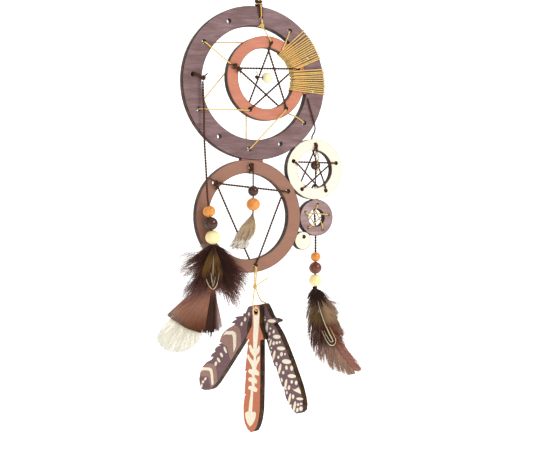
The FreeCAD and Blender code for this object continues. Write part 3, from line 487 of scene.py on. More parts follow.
def knot(sp, c, size, strand, flat=0.6, turn=0.0, tails=(), mat=0, seed=0, lobes=1):
    """An overhand knot (trefoil line) with loose tails, board millimetres."""
    rng = random.Random(seed)
    for l in range(lobes):
        t = np.linspace(0, 2 * math.pi, 64)
        x = (np.sin(t) + 2 * np.sin(2 * t)) / 3.0
        z = (np.cos(t) - 2 * np.cos(2 * t)) / 3.0
        y = -np.sin(3 * t) * flat
        ca, sa = math.cos(turn + l * 1.2), math.sin(turn + l * 1.2)
        k = size * (1.0 - 0.16 * l)
        pts = np.stack([c[0] + k * (x * ca - z * sa), c[1] + k * 0.62 * y, c[2] + k * (x * sa + z * ca)], 1)
        sp.plied(WA(pts), strand / 1000.0, strand * 5 / 1000.0, strand * 0.7 / 1000.0, 2, 6, [mat, mat])
    for tail in tails:
        line = nurbs_line("tail", WA([c] + list(tail)), 12)
        sp.plied(line, strand * 0.9 / 1000.0, strand * 5 / 1000.0, strand * 0.7 / 1000.0, 2, 6, [mat, mat])
        end = WA([tail[-1]])[0]
        d = end - WA([tail[-2] if len(tail) > 1 else c])[0]
        d /= np.linalg.norm(d)
        for q in range(7):
            v = d + np.array([rng.uniform(-0.6, 0.6) for _ in range(3)])
            v /= np.linalg.norm(v)
            f = np.stack([end + v * 0.0011 * s for s in (0, 0.5, 1.0)])
            sp.tube(f, [strand * 0.00022, strand * 0.00017, strand * 0.00008], 4, mat)


# ------------------------------------------------------------------ threads on the board
def g_in(k):
    return toward(I[k], IC, -0.62)


pts = [(4.4, FG - 0.7, 41.5), (4.9, FG - 0.6, 36.6), (6.9, FG - 0.3, 33.6)]
cur = (6.9, 33.6)
chain = [("i", 0), ("h", 2), ("i", 1), ("h", 4), ("i", 2), ("h", 6), ("i", 3)]
places = [g_in(k) if t == "i" else H[k] for t, k in chain]
prev = (4.9, 36.6)
for n, p in enumerate(places):
    nxt = places[n + 1] if n + 1 < len(places) else H[8]
    front_in = n % 2 == 0
    y0, y1 = (FG, BG) if front_in else (BG, FG)
    pts += pass_hole(p, prev, nxt, y0, y1)
    prev = p
a, b = toward(places[-1], H[8], 4.1), toward(places[-1], H[8], 8.1)
pts += [(a[0], BG, a[1]), (b[0], FG, b[1])] + pass_hole(H[8], b, (H[8][0] + 2, H[8][1]), FG, HALF - 0.6)[:3]


def web_extra(sp):
    knot(sp, (4.5, FG - 0.4, 37.2), 1.25, 0.42, tails=[[(3.2, FG - 0.6, 37.3), (2.2, FG - 0.5, 36.6)]], seed=3)
    # the strand that comes down from the top hole to the knot
    sp.plied(nurbs_line("drop", WA([(3.95, -1.0, 43.0), (3.95, FG + 0.1, 42.8), (4.3, FG - 0.6, 40.6), (4.4, FG - 0.6, 38.4)]), 12), 0.00045, 0.0024, 0.00028)


thread("web_gold", "web_thread", pts, GR, "board", MAT["gold"], extra=web_extra)
p12 = H[11]
thread("lashing_start", "lashing_lead", pass_hole(p12, (p12[0], p12[1] + 3), (19.6, 23.2), HALF - 0.6, FG)[1:] + [(19.9, FG - 0.1, 23.6), (19.2, FG - 0.1, 22.6)],
       GR, "board", MAT["gold"])

# lashing: wraps over both rings, dense at the inner edge, fanned at the rim
rng = random.Random(11)
betas = []
for lo, hi, n in ((46.0, 43.4, 2), (40.2, 21.0, 12), (12.8, -6.0, 12)):
    for k in range(n):
        betas.append(lo + (hi - lo) * k / (n - 1) + rng.uniform(-0.28, 0.28))
nb = len(betas)
pts = []
for k, be in enumerate(betas):
    al = 60.5 - 79.5 * (k / (nb - 1)) ** 0.95 + rng.uniform(-0.7, 0.7)
    lift = 0.5 + 0.42 * (k % 3) / 2.0 + rng.uniform(0, 0.12)
    yi, yo = HALF + lift, HALF + 0.5
    N0, N1 = polar(IC, 19.45, al), polar(IC, 20.9, al)
    O0, O1 = polar(MC, 48.9, be), polar(MC, 50.55, be)
    al2 = al - 1.2
    be2 = be - 0.5
    M0, M1 = polar(IC, 19.45, al2), polar(IC, 20.9, al2)
    Q0, Q1 = polar(MC, 48.9, be2), polar(MC, 50.55, be2)
    pts += [(N0[0], -HALF + 0.8, N0[1]), (N0[0], -yi + 0.1, N0[1]), (N1[0], -yi, N1[1]), (O0[0], -yo, O0[1]), (O1[0], -yo + 0.1, O1[1]), (O1[0], -HALF + 0.8, O1[1]),
            (Q1[0], HALF - 0.8, Q1[1]), (Q1[0], yo - 0.1, Q1[1]), (Q0[0], yo, Q0[1]), (M1[0], yi, M1[1]), (M0[0], yi - 0.1, M0[1]), (M0[0], HALF - 0.8, M0[1])]
thread("gold_lashing", "lashing", pts, 0.47, "board", MAT["gold"], pitch=2.3)


def star_points(order, holes, centre, bore, shift, f, b):
    hs = [toward(holes[k], centre, shift) for k in order]
    out = []
    n = len(hs)
    for k in range(n):
        p, q = hs[k], hs[(k + 1) % n]
        d = math.hypot(q[0] - p[0], q[1] - p[1])
        ux, uz = (q[0] - p[0]) / d, (q[1] - p[1]) / d

        def edge(o, sgn):
            px, pz = o[0] - centre[0], o[1] - centre[1]
            bb = (px * ux + pz * uz) * sgn
            cc = px * px + pz * pz - (bore - 0.75) ** 2
            return -bb - math.sqrt(bb * bb - cc)
        s1, s2 = edge(p, 1), edge(q, -1)
        out += [(p[0], f, p[1]), (p[0] + ux * 1.4, f, p[1] + uz * 1.4), (p[0] + ux * s1, f, p[1] + uz * s1),
                (q[0] - ux * s2, b, q[1] - uz * s2), (q[0] - ux * 1.4, b, q[1] - uz * 1.4), (q[0] + (0.3 if k == n - 1 else 0), b, q[1])]
    return out


def star_extra(sp):
    k = toward(I[1], IC, 1.6)
    knot(sp, (k[0] - 1.2, -HALF - 1.2, k[1] + 0.9), 1.5, 0.55, seed=5, lobes=2, turn=0.4, tails=[[(k[0] - 3.0, -HALF - 1.5, k[1] + 2.0), (k[0] - 4.2, -HALF - 1.2, k[1] + 1.5)]])
    knot(sp, (k[0] + 1.6, -HALF - 1.2, k[1] - 1.2), 1.5, 0.55, seed=6, lobes=2, turn=1.4, tails=[[(k[0] + 2.4, -HALF - 1.5, k[1] - 2.6), (k[0] + 2.2, -HALF - 1.2, k[1] - 3.8)]])


thread("star_inner", "inner_star", star_points([1, 3, 0, 2, 4], I, IC, 20.0, 0.62, -HALF - 0.72, HALF + 0.72), 0.72, "board", MAT["brown"], extra=star_extra)
thread("star_cream", "cream_star", star_points([0, 2, 4, 1, 3], C, CC, 12.7, 0.4, -HALF - 0.66, HALF + 0.66), 0.66, "board", MAT["brown"])
thread("star_small", "small_star", star_points([0, 2, 4, 1, 3], S, SC, 5.8, 0.0, -HALF - 0.48, HALF + 0.48), 0.46, "board", MAT["gold"])

# pearl's own tie
sp = Soup()
knot(sp, (1.5, -1.7, 4.0), 1.05, 0.42, seed=8, lobes=2, tails=[[(1.6, -2.6, 5.8), (1.3, -2.7, 7.2)]])
sp.plied(nurbs_line("pearl_tie_l", WA([(1.6, -2.0, 4.0), (2.9, -4.8, 3.6), (4.4, -5.2, 3.4), (11.4, -5.2, 3.4)]), 12), 0.0004, 0.0021, 0.00025)
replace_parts(sp.make("tie_pearl", [MAT["brown"]], "board"), "pearl_tie")

# lower triangle
l2, l3, l4 = (toward(p, LC, 0.62) for p in (L2, L3, L4))
FS, BS = -HALF - 0.68, HALF + 0.68


def rim(p, q):
    d = math.hypot(q[0] - p[0], q[1] - p[1])
    ux, uz = (q[0] - p[0]) / d, (q[1] - p[1]) / d
    px, pz = p[0] - LC[0], p[1] - LC[1]
    bb = px * ux + pz * uz
    s = -bb - math.sqrt(bb * bb - (px * px + pz * pz - (28.1 - 0.75) ** 2))
    return p[0] + ux * s, p[1] + uz * s


a1, a2, b1, b2 = rim(l3, l4), rim(l4, l3), rim(l4, l2), rim(l2, l4)
tri = [(l2[0], FS - 0.3, l2[1])] + pass_hole(l3, l2, l4, FS, BS) + [(a1[0], BS, a1[1]), (a2[0], FS, a2[1])] + \
    pass_hole(l4, l3, l2, FS, BS) + [(b1[0], BS, b1[1]), (b2[0], FS - 0.1, b2[1]), (l2[0] + 0.9, FS - 0.6, l2[1] - 1.1)]


def tri_extra(sp):
    knot(sp, (l2[0] + 0.2, FS - 0.6, l2[1] - 0.2), 1.7, 0.6, seed=12, lobes=2, turn=0.8,
         tails=[[(l2[0] - 1.8, FS - 0.9, l2[1] + 1.4), (l2[0] - 3.2, FS - 0.7, l2[1] + 2.6)], [(l2[0] + 2.4, FS - 0.9, l2[1] - 0.1), (l2[0] + 3.4, FS - 0.7, l2[1] + 0.6)],
                [(l2[0] + 0.9, FS - 0.9, l2[1] - 2.4), (l2[0] + 0.4, FS - 0.7, l2[1] - 3.4)]])


thread("triangle", "triangle_thread", tri, 0.72, "board", MAT["brown"], extra=tri_extra)

# left tie: loop through the ring's hole and knot at its inner edge
h4 = H[3]
sp = Soup()
ty = HALF + 0.85
for dz in (-0.55, 0.6):
    sp.plied(nurbs_line("lt", WA([(h4[0] + 0.2, 1.0, h4[1] + dz), (h4[0] + 0.2, -ty, h4[1] + dz), (h4[0] + 1.8, -ty - 0.15, h4[1] + dz * 0.9), (-37.6, -ty - 0.25, 2.6 + dz * 0.5), (-36.4, -ty - 0.35, 2.1)]), 12),
             0.00068, 0.0034, 0.0004)
sp.plied(nurbs_line("lt", WA([(h4[0] + 0.2, 1.0, h4[1]), (h4[0] + 0.2, ty, h4[1]), (h4[0] + 1.8, ty, h4[1]), (-37.4, ty, 2.5), (-35.6, ty, 2.1), (-35.2, 1.0, 1.9), (-35.4, -ty, 1.9), (-36.5, -ty - 0.5, 1.8)]), 12),
         0.00068, 0.0034, 0.0004)
knot(sp, (-36.6, -ty - 0.7, 1.7), 1.5, 0.62, seed=21, lobes=2, turn=0.3, tails=[[(-35.4, -ty - 1.0, 3.0), (-34.0, -ty - 0.8, 4.3)]])
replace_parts(sp.make("tie_left", [MAT["brown"]], "board"), "left_tie")

# centre tie: big knot on the lower ring's top hole
sp = Soup()
knot(sp, (L1[0] + 0.1, -HALF - 1.2, L1[1] + 0.7), 1.5, 0.6, seed=31, lobes=2, turn=0.2, tails=[[(L1[0] - 0.9, -HALF - 1.3, L1[1] - 2.0), (L1[0] - 1.2, -HALF - 1.1, L1[1] - 3.9)]])
knot(sp, (L1[0] + 0.3, -HALF - 1.2, L1[1] - 1.6), 1.35, 0.6, seed=32, lobes=2, turn=1.1)
sp.plied(nurbs_line("ct", WA([(L1[0] + 0.1, HALF - 0.5, L1[1]), (L1[0] + 0.1, -HALF - 0.7, L1[1]), (L1[0] + 0.3, -HALF - 1.0, L1[1] - 2.2), (-2.6, -HALF - 1.1, -57.8)]), 12), 0.0006, 0.003, 0.00036)
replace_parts(sp.make("tie_centre", [MAT["brown"]], "board"), "centre_tie")

# right string: from the lashing over the rim, behind the cream ring, out of
# its top hole, through the bead, to the knot at its lower inner edge
c1 = toward(C[0], CC, -0.55)
BC = HALF + 0.75
rs = [(37.4, -HALF - 0.75, -8.6), (40.0, -HALF - 0.75, -17.0), (43.2, -HALF - 0.7, -27.2), (43.8, -1.0, -30.6), (43.9, BC, -33.0), (c1[0], BC, c1[1] + 1.6), (c1[0], BC, c1[1]),
      (c1[0], -4.0, c1[1]), (c1[0] - 0.1, -4.3, c1[1] - 1.8), (c1[0] - 0.3, -4.3, c1[1] - 5.0), (43.25, -3.5, -47.6), (43.25, -3.5, -50.0), (43.25, -3.5, -63.6), (43.3, -3.2, -66.2)]


def rs_extra(sp):
    knot(sp, (43.3, -2.6, -66.4), 1.15, 0.5, seed=41, lobes=1, tails=[[(44.6, -3.0, -67.0), (45.6, -2.8, -67.2)]])
    knot(sp, (c1[0] - 0.1, -4.2, c1[1] - 1.6), 1.0, 0.5, seed=42, lobes=1, turn=0.7)
    # a second strand and a gold ply that go over the front of the bead
    sp.plied(nurbs_line("rsb", WA([(42.9, -4.4, -44.6), (42.7, -5.4, -48.6), (43.0, -7.3, -51.4), (43.2, -7.5, -54.0), (43.3, -5.6, -57.4), (43.3, -4.0, -60.0)]), 12), 0.00042, 0.0022, 0.00028, mats=[1, 0])
    sp.plied(nurbs_line("rsc", WA([(c1[0] + 0.2, -4.4, c1[1] - 2.0), (44.6, -4.9, -46.0), (44.5, -5.0, -50.0), (43.7, -4.2, -58.6)]), 12), 0.0004, 0.0021, 0.00028)


thread("string_right", "right_string", rs, 0.6, "board", [MAT["brown"], MAT["gold"]], extra=rs_extra, mats=[0, 0])

# gold tie at the lower ring's lowest hole
l4g = toward(L4, LC, -0.62)
sp = Soup()
for dx in (-0.5, 0.5):
    sp.plied(nurbs_line("gt", WA([(l4g[0] + dx * 0.5, HALF - 0.6, l4g[1]), (l4g[0] + dx * 0.5, FG, l4g[1]), (l4g[0] + dx, FG - 0.1, l4g[1] - 1.2), (0.15 + dx, FG - 0.1, -122.4), (0.15 + dx, FG - 0.1, -123.4)]), 12),
             0.0005, 0.0025, 0.0003)
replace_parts(sp.make("tie_gold", [MAT["gold"]], "board"), "gold_tie")

# thread that carries the wooden feathers
PIV = np.array([0.4, -3.2, -149.2])
NV = np.array(NRM)
SV = np.array([math.cos(WYAW), -math.sin(WYAW), 0.0])
UV = np.array([0.0, 0.0, 1.0])
STACK = {"left": 11.8, "centre": 0.0, "right": 5.9}
SHIFT = {"left": (-1.74, 1.3), "centre": (1.8, 0.3), "right": (0.03, 0.8)}
TILT = {"left": -34.9, "centre": -2.1, "right": 19.8}
cen = dict((k, PIV - NV * STACK[k] + SV * SHIFT[k][0] + UV * SHIFT[k][1]) for k in STACK)

def in_stack(depth, side, up):
    return tuple(PIV + NV * (HALF - depth) + SV * side + UV * up)

KN = np.array([-0.4, FG - 0.2, -132.9])
sp = Soup()
for dx in (-0.55, 0.55):
    sp.plied(nurbs_line("ft", WA([(0.1 + dx, FG, -123.4), (-0.1 + dx * 1.2, FG - 0.1, -128.0), (KN[0] + dx * 0.6, KN[1], KN[2])]), 12), 0.0005, 0.0025, 0.0003)
loop = [tuple(KN)] + [in_stack(*q) for q in ((-1.0, -1.0, 3.8), (-1.0, 2.9, 0.8), (0.5, 2.45, 0.8), (8.7, 0.0, 0.8), (17.0, -2.5, 0.8),
                                             (18.4, -2.92, 0.8), (18.4, -2.92, 5.2), (6.2, 0.57, 6.5))] + [(KN[0] + 0.4, KN[1] + 0.1, KN[2] - 0.1)]
sp.plied(nurbs_line("ft2", WA(loop), 14), 0.0005, 0.0025, 0.0003)
knot(sp, tuple(KN), 1.15, 0.5, seed=51, lobes=2, tails=[[(2.6, FG - 0.6, -130.6), (5.4, FG - 0.2, -129.0), (8.4, FG - 0.4, -127.6)]])
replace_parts(sp.make("thread_feathers", [MAT["gold"]], "feather_thread"), "feather_thread")

# ------------------------------------------------------------------ hanging tie
hx, hz = H[0]
TY = HALF + 0.95
sp = Soup()
for dx in (-1.0, 0.95):
    sp.plied(nurbs_line("ht", WA([(hx + dx * 0.45, 0.0, hz + 0.2), (hx + dx * 0.45, -TY, hz + 0.1), (hx + dx * 0.7, -TY - 0.1, hz + 1.8), (3.55 + dx, -TY - 0.1, 48.6), (3.6 + dx, -TY + 0.3, 50.6), (3.6 + dx * 0.6, -1.0, 52.0)]), 12),
             0.00068, 0.0034, 0.0004, mats=[0, 0])
    sp.plied(nurbs_line("ht", WA([(hx + dx * 0.45, 0.0, hz + 0.2), (hx + dx * 0.45, TY, hz + 0.1), (hx + dx * 0.7, TY + 0.1, hz + 1.8), (3.55 + dx, TY + 0.1, 48.6), (3.6 + dx, TY - 0.3, 50.6), (3.6 + dx * 0.6, 1.0, 52.0)]), 12),
             0.00068, 0.0034, 0.0004, mats=[0, 0])
sp.plied(nurbs_line("ht", WA([(hx, 0.0, hz - 0.3), (hx, -TY - 0.2, hz - 0.2), (hx, -TY - 0.5, hz + 1.6), (3.7, -TY - 0.6, 48.6), (3.7, -TY + 0.1, 51.0)]), 12), 0.0005, 0.0026, 0.0003, mats=[1, 1])


def coil(sp, c, rx, ry, z0, z1, turns, strand, mat):
    t = np.linspace(0, 1, int(turns * 26))
    a = t * turns * 2 * math.pi
    pts = np.stack([c[0] + rx * np.cos(a), c[1] + ry * np.sin(a), z0 + (z1 - z0) * t], 1)
    sp.plied(WA(pts), strand / 1000.0, strand * 5 / 1000.0, strand * 0.6 / 1000.0, 2, 6, [mat, mat])


coil(sp, (3.6, 0.0), 2.1, 1.75, 52.9, 54.2, 1.6, 0.62, 0)
coil(sp, (3.6, 0.0), 2.3, 1.95, 51.4, 52.0, 1.3, 0.52, 1)
coil(sp, (3.6, 0.0), 1.9, 1.65, 50.7, 51.2, 1.2, 0.62, 0)
knot(sp, (3.6, 0.0, 52.3), 1.3, 0.66, flat=0.9, seed=61, lobes=2, mat=0)
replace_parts(sp.make("tie_hanging", [MAT["brown"], MAT["gold"]], "hanger_tie"), "hanger_tie")


# ------------------------------------------------------------------ free cords
def line_length(line):
    return float(np.linalg.norm(np.diff(line, axis=0), axis=1).sum())


def free_cord(name, node, body, pts, diameter, mats, pitch=None, split=None):
    """A free cord as a rope of two plies that follow the route's NURBS line."""
    line = nurbs_line(name, WA(pts), 40)
    sp = Soup()
    r = diameter / 2.0
    sp.plied(line, r, pitch or r * 5.0, r * 0.5, 2, 8, split)
    ob = sp.make(name, mats, body)
    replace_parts(ob, node)
    return ob, line


LOOP = [(3.05, 0, 54.2), (0.9, 0, 75.0), (-0.2, 0, 84.6), (2.0, 0, 88.1), (5.8, 0, 88.1), (8.0, 0, 84.6), (6.9, 0, 75.0), (4.75, 0, 54.2)]
LEFT = [(-37.1, -4.9, -0.7), (-36.3, -5.1, -20.0), (-36.6, -5.6, -36.0), (-35.7, -6.5, -54.0), (-35.2, -7.3, -69.5),
        (-35.0, -7.6, -76.5), (-30.9, -7.8, -104.4)]
CENTRE = [(-3.0, -6.5, -54.6), (-3.3, -7.4, -64.2), (-3.5, -7.5, -85.0)]
RIGHT = [(43.6, -0.9, -66.2), (44.0, 2.2, -66.4), (44.5, 4.5, -68.2), (45.3, 4.5, -75.5), (47.0, 4.5, -90.0),
         (47.3, 4.3, -106.5), (46.7, 4.3, -135.6)]
free_cord("loop_hanging", "hanger_loop", "hanger", LOOP, 0.0014, [MAT["gold"], MAT["brown"]], 0.0042, split=[0, 1])


# ------------------------------------------------------------------ beads
def bead(name, node, body, centre, axis, rad, squash, mat, bore=1.0):
    """Lathe profile: rounded shoulders, slightly dished ends and a bore."""
    half = rad * squash
    prof = []
    end_r = max(rad * 0.36, bore + 0.5)
    cut = math.acos(min(1.0, end_r / rad))
    n = 22
    for k in range(n + 1):
        a = -cut + 2 * cut * k / n
        prof.append((rad * math.cos(a), half * math.sin(a) / math.sin(cut)))
    top = [(end_r - 0.22, half + 0.05), (bore + 0.28, half - 0.02), (bore + 0.08, half - 0.16), (bore, half - 0.45)]
    prof = [(r, -z) for r, z in reversed(top)] + prof + top
    m = len(prof)
    seg = 56
    z = Vector(axis).normalized()
    rot = z.to_track_quat("Z", "X").to_matrix()
    verts, faces = [], []
    for j in range(seg):
        a = 2 * math.pi * j / seg
        for r, h in prof:
            verts.append((r * math.cos(a) / 1000.0, r * math.sin(a) / 1000.0, h / 1000.0))
    for j in range(seg):
        j2 = (j + 1) % seg
        for k in range(m):
            k2 = (k + 1) % m
            faces.append((j * m + k, j2 * m + k, j2 * m + k2, j * m + k2))
    ob = add_mesh(name, verts, faces, mat)
    ob.matrix_world = rot.to_4x4()
    ob.location = W(*centre)
    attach(ob, body)
    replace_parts(ob, node)
    return ob


def along(a, b, z):
    f = (z - a[2]) / (b[2] - a[2])
    return tuple(a[k] + f * (b[k] - a[k]) for k in range(3))


def away(a, b):
    return tuple(a[k] - b[k] for k in range(3))


LD, CD, RD = away(LEFT[5], LEFT[6]), away(CENTRE[1], CENTRE[2]), away(RIGHT[5], RIGHT[6])
lb = [bead("bead_left_top", "left_bead_top", "left_bead_top", along(LEFT[5], LEFT[6], -83.6), LD, 4.05, 0.85, MAT["orange"]),
      bead("bead_left_middle", "left_bead_middle", "left_bead_middle", along(LEFT[5], LEFT[6], -91.4), LD, 4.55, 0.89, MAT["dark"]),
      bead("bead_left_low", "left_bead_low", "left_bead_low", along(LEFT[5], LEFT[6], -100.1), LD, 4.8, 0.87, MAT["creambead"])]
cb = [bead("bead_centre_dark", "centre_bead_dark", "centre_bead_dark", along(CENTRE[1], CENTRE[2], -70.4), CD, 3.5, 0.9, MAT["dark"]),
      bead("bead_centre_warm", "centre_bead_warm", "centre_bead_warm", along(CENTRE[1], CENTRE[2], -79.0), CD, 4.5, 0.88, MAT["orange"])]
rb = [bead("bead_right_top", "right_bead_top", "right_bead_top", along(RIGHT[5], RIGHT[6], -114.2), RD, 3.4, 0.88, MAT["orange"]),
      bead("bead_right_middle", "right_bead_middle", "right_bead_middle", along(RIGHT[5], RIGHT[6], -121.6), RD, 4.3, 0.89, MAT["redbrown"]),
      bead("bead_right_low", "right_bead_low", "right_bead_low", along(RIGHT[5], RIGHT[6], -130.0), RD, 4.25, 0.9, MAT["creambead"])]
bead("bead_ring", "ring_bead", "ring_bead", (43.25, -3.5, -52.9), (0, 0, 1), 3.3, 0.88, MAT["dark"])
bead("bead_pearl", "pearl_bead", "board", (7.4, -5.2, 3.4), (1, 0, 0.02), 3.5, 0.96, MAT["pearl"], bore=0.62)


# ------------------------------------------------------------------ natural feathers
def smoothstep(a, b, x):
    t = min(1.0, max(0.0, (x - a) / (b - a)))
    return t * t * (3 - 2 * t)


def lerp3(a, b, t):
    return tuple(a[k] + (b[k] - a[k]) * t for k in range(3))


def pal(stops, t):
    for k in range(len(stops) - 1):
        if t <= stops[k + 1][0]:
            a, b = stops[k], stops[k + 1]
            f = 0.0 if b[0] == a[0] else (t - a[0]) / (b[0] - a[0])
            return lerp3(a[1], b[1], max(0.0, min(1.0, f)))
    return stops[-1][1]


def barb(sp, p0, d0, d1, length, w0, col, n=7, wave=0.0, phase=0.0, lift=0.0, thick=0.35, taper=0.86):
    """One barb: a thin closed ribbon that starts along d0 and turns to d1."""
    p = np.array(p0, float)
    line = [p.copy()]
    d0, d1 = np.array(d0, float), np.array(d1, float)
    for k in range(n - 1):
        t = (k + 0.5) / (n - 1)
        d = d0 * (1 - t) + d1 * t
        if wave:
            d = d + wave * np.array([math.sin(phase + 5.5 * t), 0.6 * math.cos(phase * 1.7 + 4.0 * t), math.cos(phase + 6.3 * t)])
        d /= np.linalg.norm(d)
        d[1] += lift * t
        p = p + d * length / (n - 1)
        line.append(p.copy())
    line = WA(line)
    tan = np.gradient(line, axis=0)
    tan /= np.linalg.norm(tan, axis=1)[:, None]
    side = np.cross(tan, np.array([0.0, 1.0, 0.0]))
    side /= np.maximum(np.linalg.norm(side, axis=1), 1e-9)[:, None]
    up = np.cross(side, tan)
    t = np.linspace(0, 1, n)
    w = w0 / 1000.0 * (0.35 + 0.65 * np.minimum(1.0, t * 5)) * (1.0 - taper * t ** 2.2)
    sp.tube(line, w / 2.0, 4, 0, tint=[col(float(k)) for k in t], fr=(tan, side, up), flat=thick)


def rachis(sp, line, r0, r1, col):
    line = WA(line)
    t = np.linspace(0, 1, len(line))
    sp.tube(line, (r0 + (r1 - r0) * t) / 1000.0, 6, 0, tint=[col(float(k)) for k in t])


def quill(a, b, bend, n=24):
    """A gently bowed line from a to b; bend is its offset in x, y, z."""
    a, b, bend = np.array(a, float), np.array(b, float), np.array(bend, float)
    t = np.linspace(0, 1, n)[:, None]
    return a * (1 - t) + b * t + bend * (4 * t * (1 - t))


def at(line, t):
    f = t * (len(line) - 1)
    k = min(len(line) - 2, int(f))
    p = line[k] + (line[k + 1] - line[k]) * (f - k)
    d = line[min(len(line) - 1, k + 2)] - line[max(0, k - 1)]
    return p, d / np.linalg.norm(d)


def reach(poly, x, z, dx, dz):
    """Distance from (x, z) along (dx, dz) to an outline in the x, z plane."""
    hits = []
    for k in range(len(poly)):
        ax, az = poly[k]
        bx, bz = poly[(k + 1) % len(poly)]
        ex, ez = bx - ax, bz - az
        den = dx * ez - dz * ex
        if abs(den) < 1e-9:
            continue
        t = ((ax - x) * ez - (az - z) * ex) / den
        u = ((ax - x) * dz - (az - z) * dx) / den
        if t > 0.01 and 0 <= u <= 1:
            hits.append(t)
    return min(hits) if hits else 0.0

def spray(sp, poly, a, b, count, deg0, deg1, width, hue, rng, ragged=0.2, over=0.04, bend=0.2, wave=0.08, yr=0.6, n=8, taper=0.86, order=False, tone=0.16, clump=1, longest=99.0, ydir=0.0):
    """Barbs that start between a and b, fan out from deg0 to deg1 (0 is
    straight down, positive to the right) and end near the outline."""
    off = 0.0
    for k in range(count):
        if clump > 1 and k % clump == 0:
            off = rng.gauss(0, 0.05)
        f = rng.random()
        o = [a[i] + (b[i] - a[i]) * f for i in range(3)]
        if order:
            deg = deg0 + (deg1 - deg0) * (k + 0.5) / count + rng.gauss(0, 0.5)
            o[1] += yr * ((k + 0.5) / count - 0.5) + rng.uniform(-0.05, 0.05)
        else:
            deg = rng.uniform(deg0, deg1)
            o[1] += rng.uniform(-yr, yr)
        an = math.radians(deg)
        dx, dz = math.sin(an), -math.cos(an)
        ln = min(longest, reach(poly, o[0], o[2], dx, dz)) * (1 + over + off - ragged * rng.random() ** 1.6)
        if ln < 1.0:
            continue
        a0, a1 = an * (1 + bend), an * (1 - bend)
        dy = rng.uniform(-ydir, ydir)
        tn = 1.0 + rng.uniform(-tone, tone)
        barb(sp, o, (math.sin(a0), dy, -math.cos(a0)), (math.sin(a1), dy * 0.4, -math.cos(a1)), ln, width * rng.uniform(0.8, 1.15),
             lambda v, x0=o[0], z0=o[2], dx=dx, dz=dz, ln=ln, tn=tn: tuple(min(0.97, tn * c) for c in hue(x0 + dx * ln * v, z0 + dz * ln * v, v)),
             n=n, wave=wave * rng.uniform(0.3, 1.0), phase=rng.uniform(0, 6.28), taper=taper)

def fill_vane(sp, line, poly, count, angle, width, hue, rng, u0=0.0, u1=1.0, tipward=0.4, longest=40.0, ragged=0.12, over=0.02, wave=0.0, split=2.0, clump=9, yr=0.3, n=8, taper=0.8, tone=0.14):
    """Barbs on both sides of a quill that run out to the outline."""
    for s in (-1, 1):
        off = 0.0
        for k in range(count):
            if k % clump == 0:
                off = rng.gauss(0, split)
            u = u0 + (u1 - u0) * (k + rng.random() * 0.6) / count
            p, d = at(line, u)
            side = np.array([-d[2], 0.0, d[0]]) * s
            an = math.radians(angle(u, s) + off + rng.gauss(0, 1.5))
            an2 = an * (1 - tipward)
            d0 = d * math.cos(an) + side * math.sin(an)
            d1 = d * math.cos(an2) + side * math.sin(an2)
            m = d0 + d1
            m = m / math.hypot(m[0], m[2])
            ln = min(longest, reach(poly, p[0], p[2], m[0], m[2])) * (1 + over - ragged * rng.random())
            if ln < 0.8:
                continue
            tn = 1.0 + rng.uniform(-tone, tone)
            barb(sp, (p[0], p[1] + rng.uniform(-yr, yr), p[2]), d0, d1, ln, width * rng.uniform(0.8, 1.15),
                 lambda v, x0=p[0], z0=p[2], dx=m[0], dz=m[2], ln=ln, tn=tn: tuple(min(0.97, tn * c) for c in hue(x0 + dx * ln * v, z0 + dz * ln * v, v)),
                 n=n, wave=wave, phase=rng.uniform(0, 6.28), taper=taper)

def streak(sp, pts, y, r, c0, c1):
    """A fine pale line on a feather; pts are (x, z)."""
    line = nurbs_line("streak", WA([(x, y, z) for x, z in pts]), 12)
    t = np.linspace(0, 1, len(line))
    sp.tube(line, r / 1000.0, 6, 0, tint=[lerp3(c0, c1, 1 - abs(2 * float(k) - 1) ** 2) for k in t])

def fluff(sp, origin, count, a0, a1, lmin, lmax, width, col, rng, wave=0.5, spread=1.2, droop=0.5, yr=1.6, n=9):
    """Loose down that fans from a point; angles in degrees, 0 = straight
    down, positive to the right."""
    for k in range(count):
        a = math.radians(rng.uniform(a0, a1))
        l = rng.uniform(lmin, lmax)
        d0 = np.array([math.sin(a), rng.uniform(-0.25, 0.25), -math.cos(a)])
        b = a * (1 - droop * rng.uniform(0.4, 1.2))
        d1 = np.array([math.sin(b), rng.uniform(-0.2, 0.2), -math.cos(b)])
        tone = rng.uniform(0.7, 1.25)
        o = (origin[0] + rng.uniform(-spread, spread), origin[1] + rng.uniform(-yr, yr), origin[2] + rng.uniform(-spread, spread))
        barb(sp, o, d0, d1, l, width * rng.uniform(0.6, 1.2), lambda v, tone=tone: tuple(tone * c for c in col(v)), n=n, wave=wave * rng.uniform(0.3, 1.0), phase=rng.uniform(0, 6.28))


DK, DB, MB, LB = (0.014, 0.006, 0.005), (0.045, 0.018, 0.012), (0.13, 0.062, 0.048), (0.27, 0.165, 0.135)
OLIVE, RUST, PALE, FAN, MAUVE = (0.10, 0.055, 0.025), (0.23, 0.085, 0.022), (0.62, 0.50, 0.33), (0.21, 0.115, 0.075), (0.25, 0.155, 0.14)

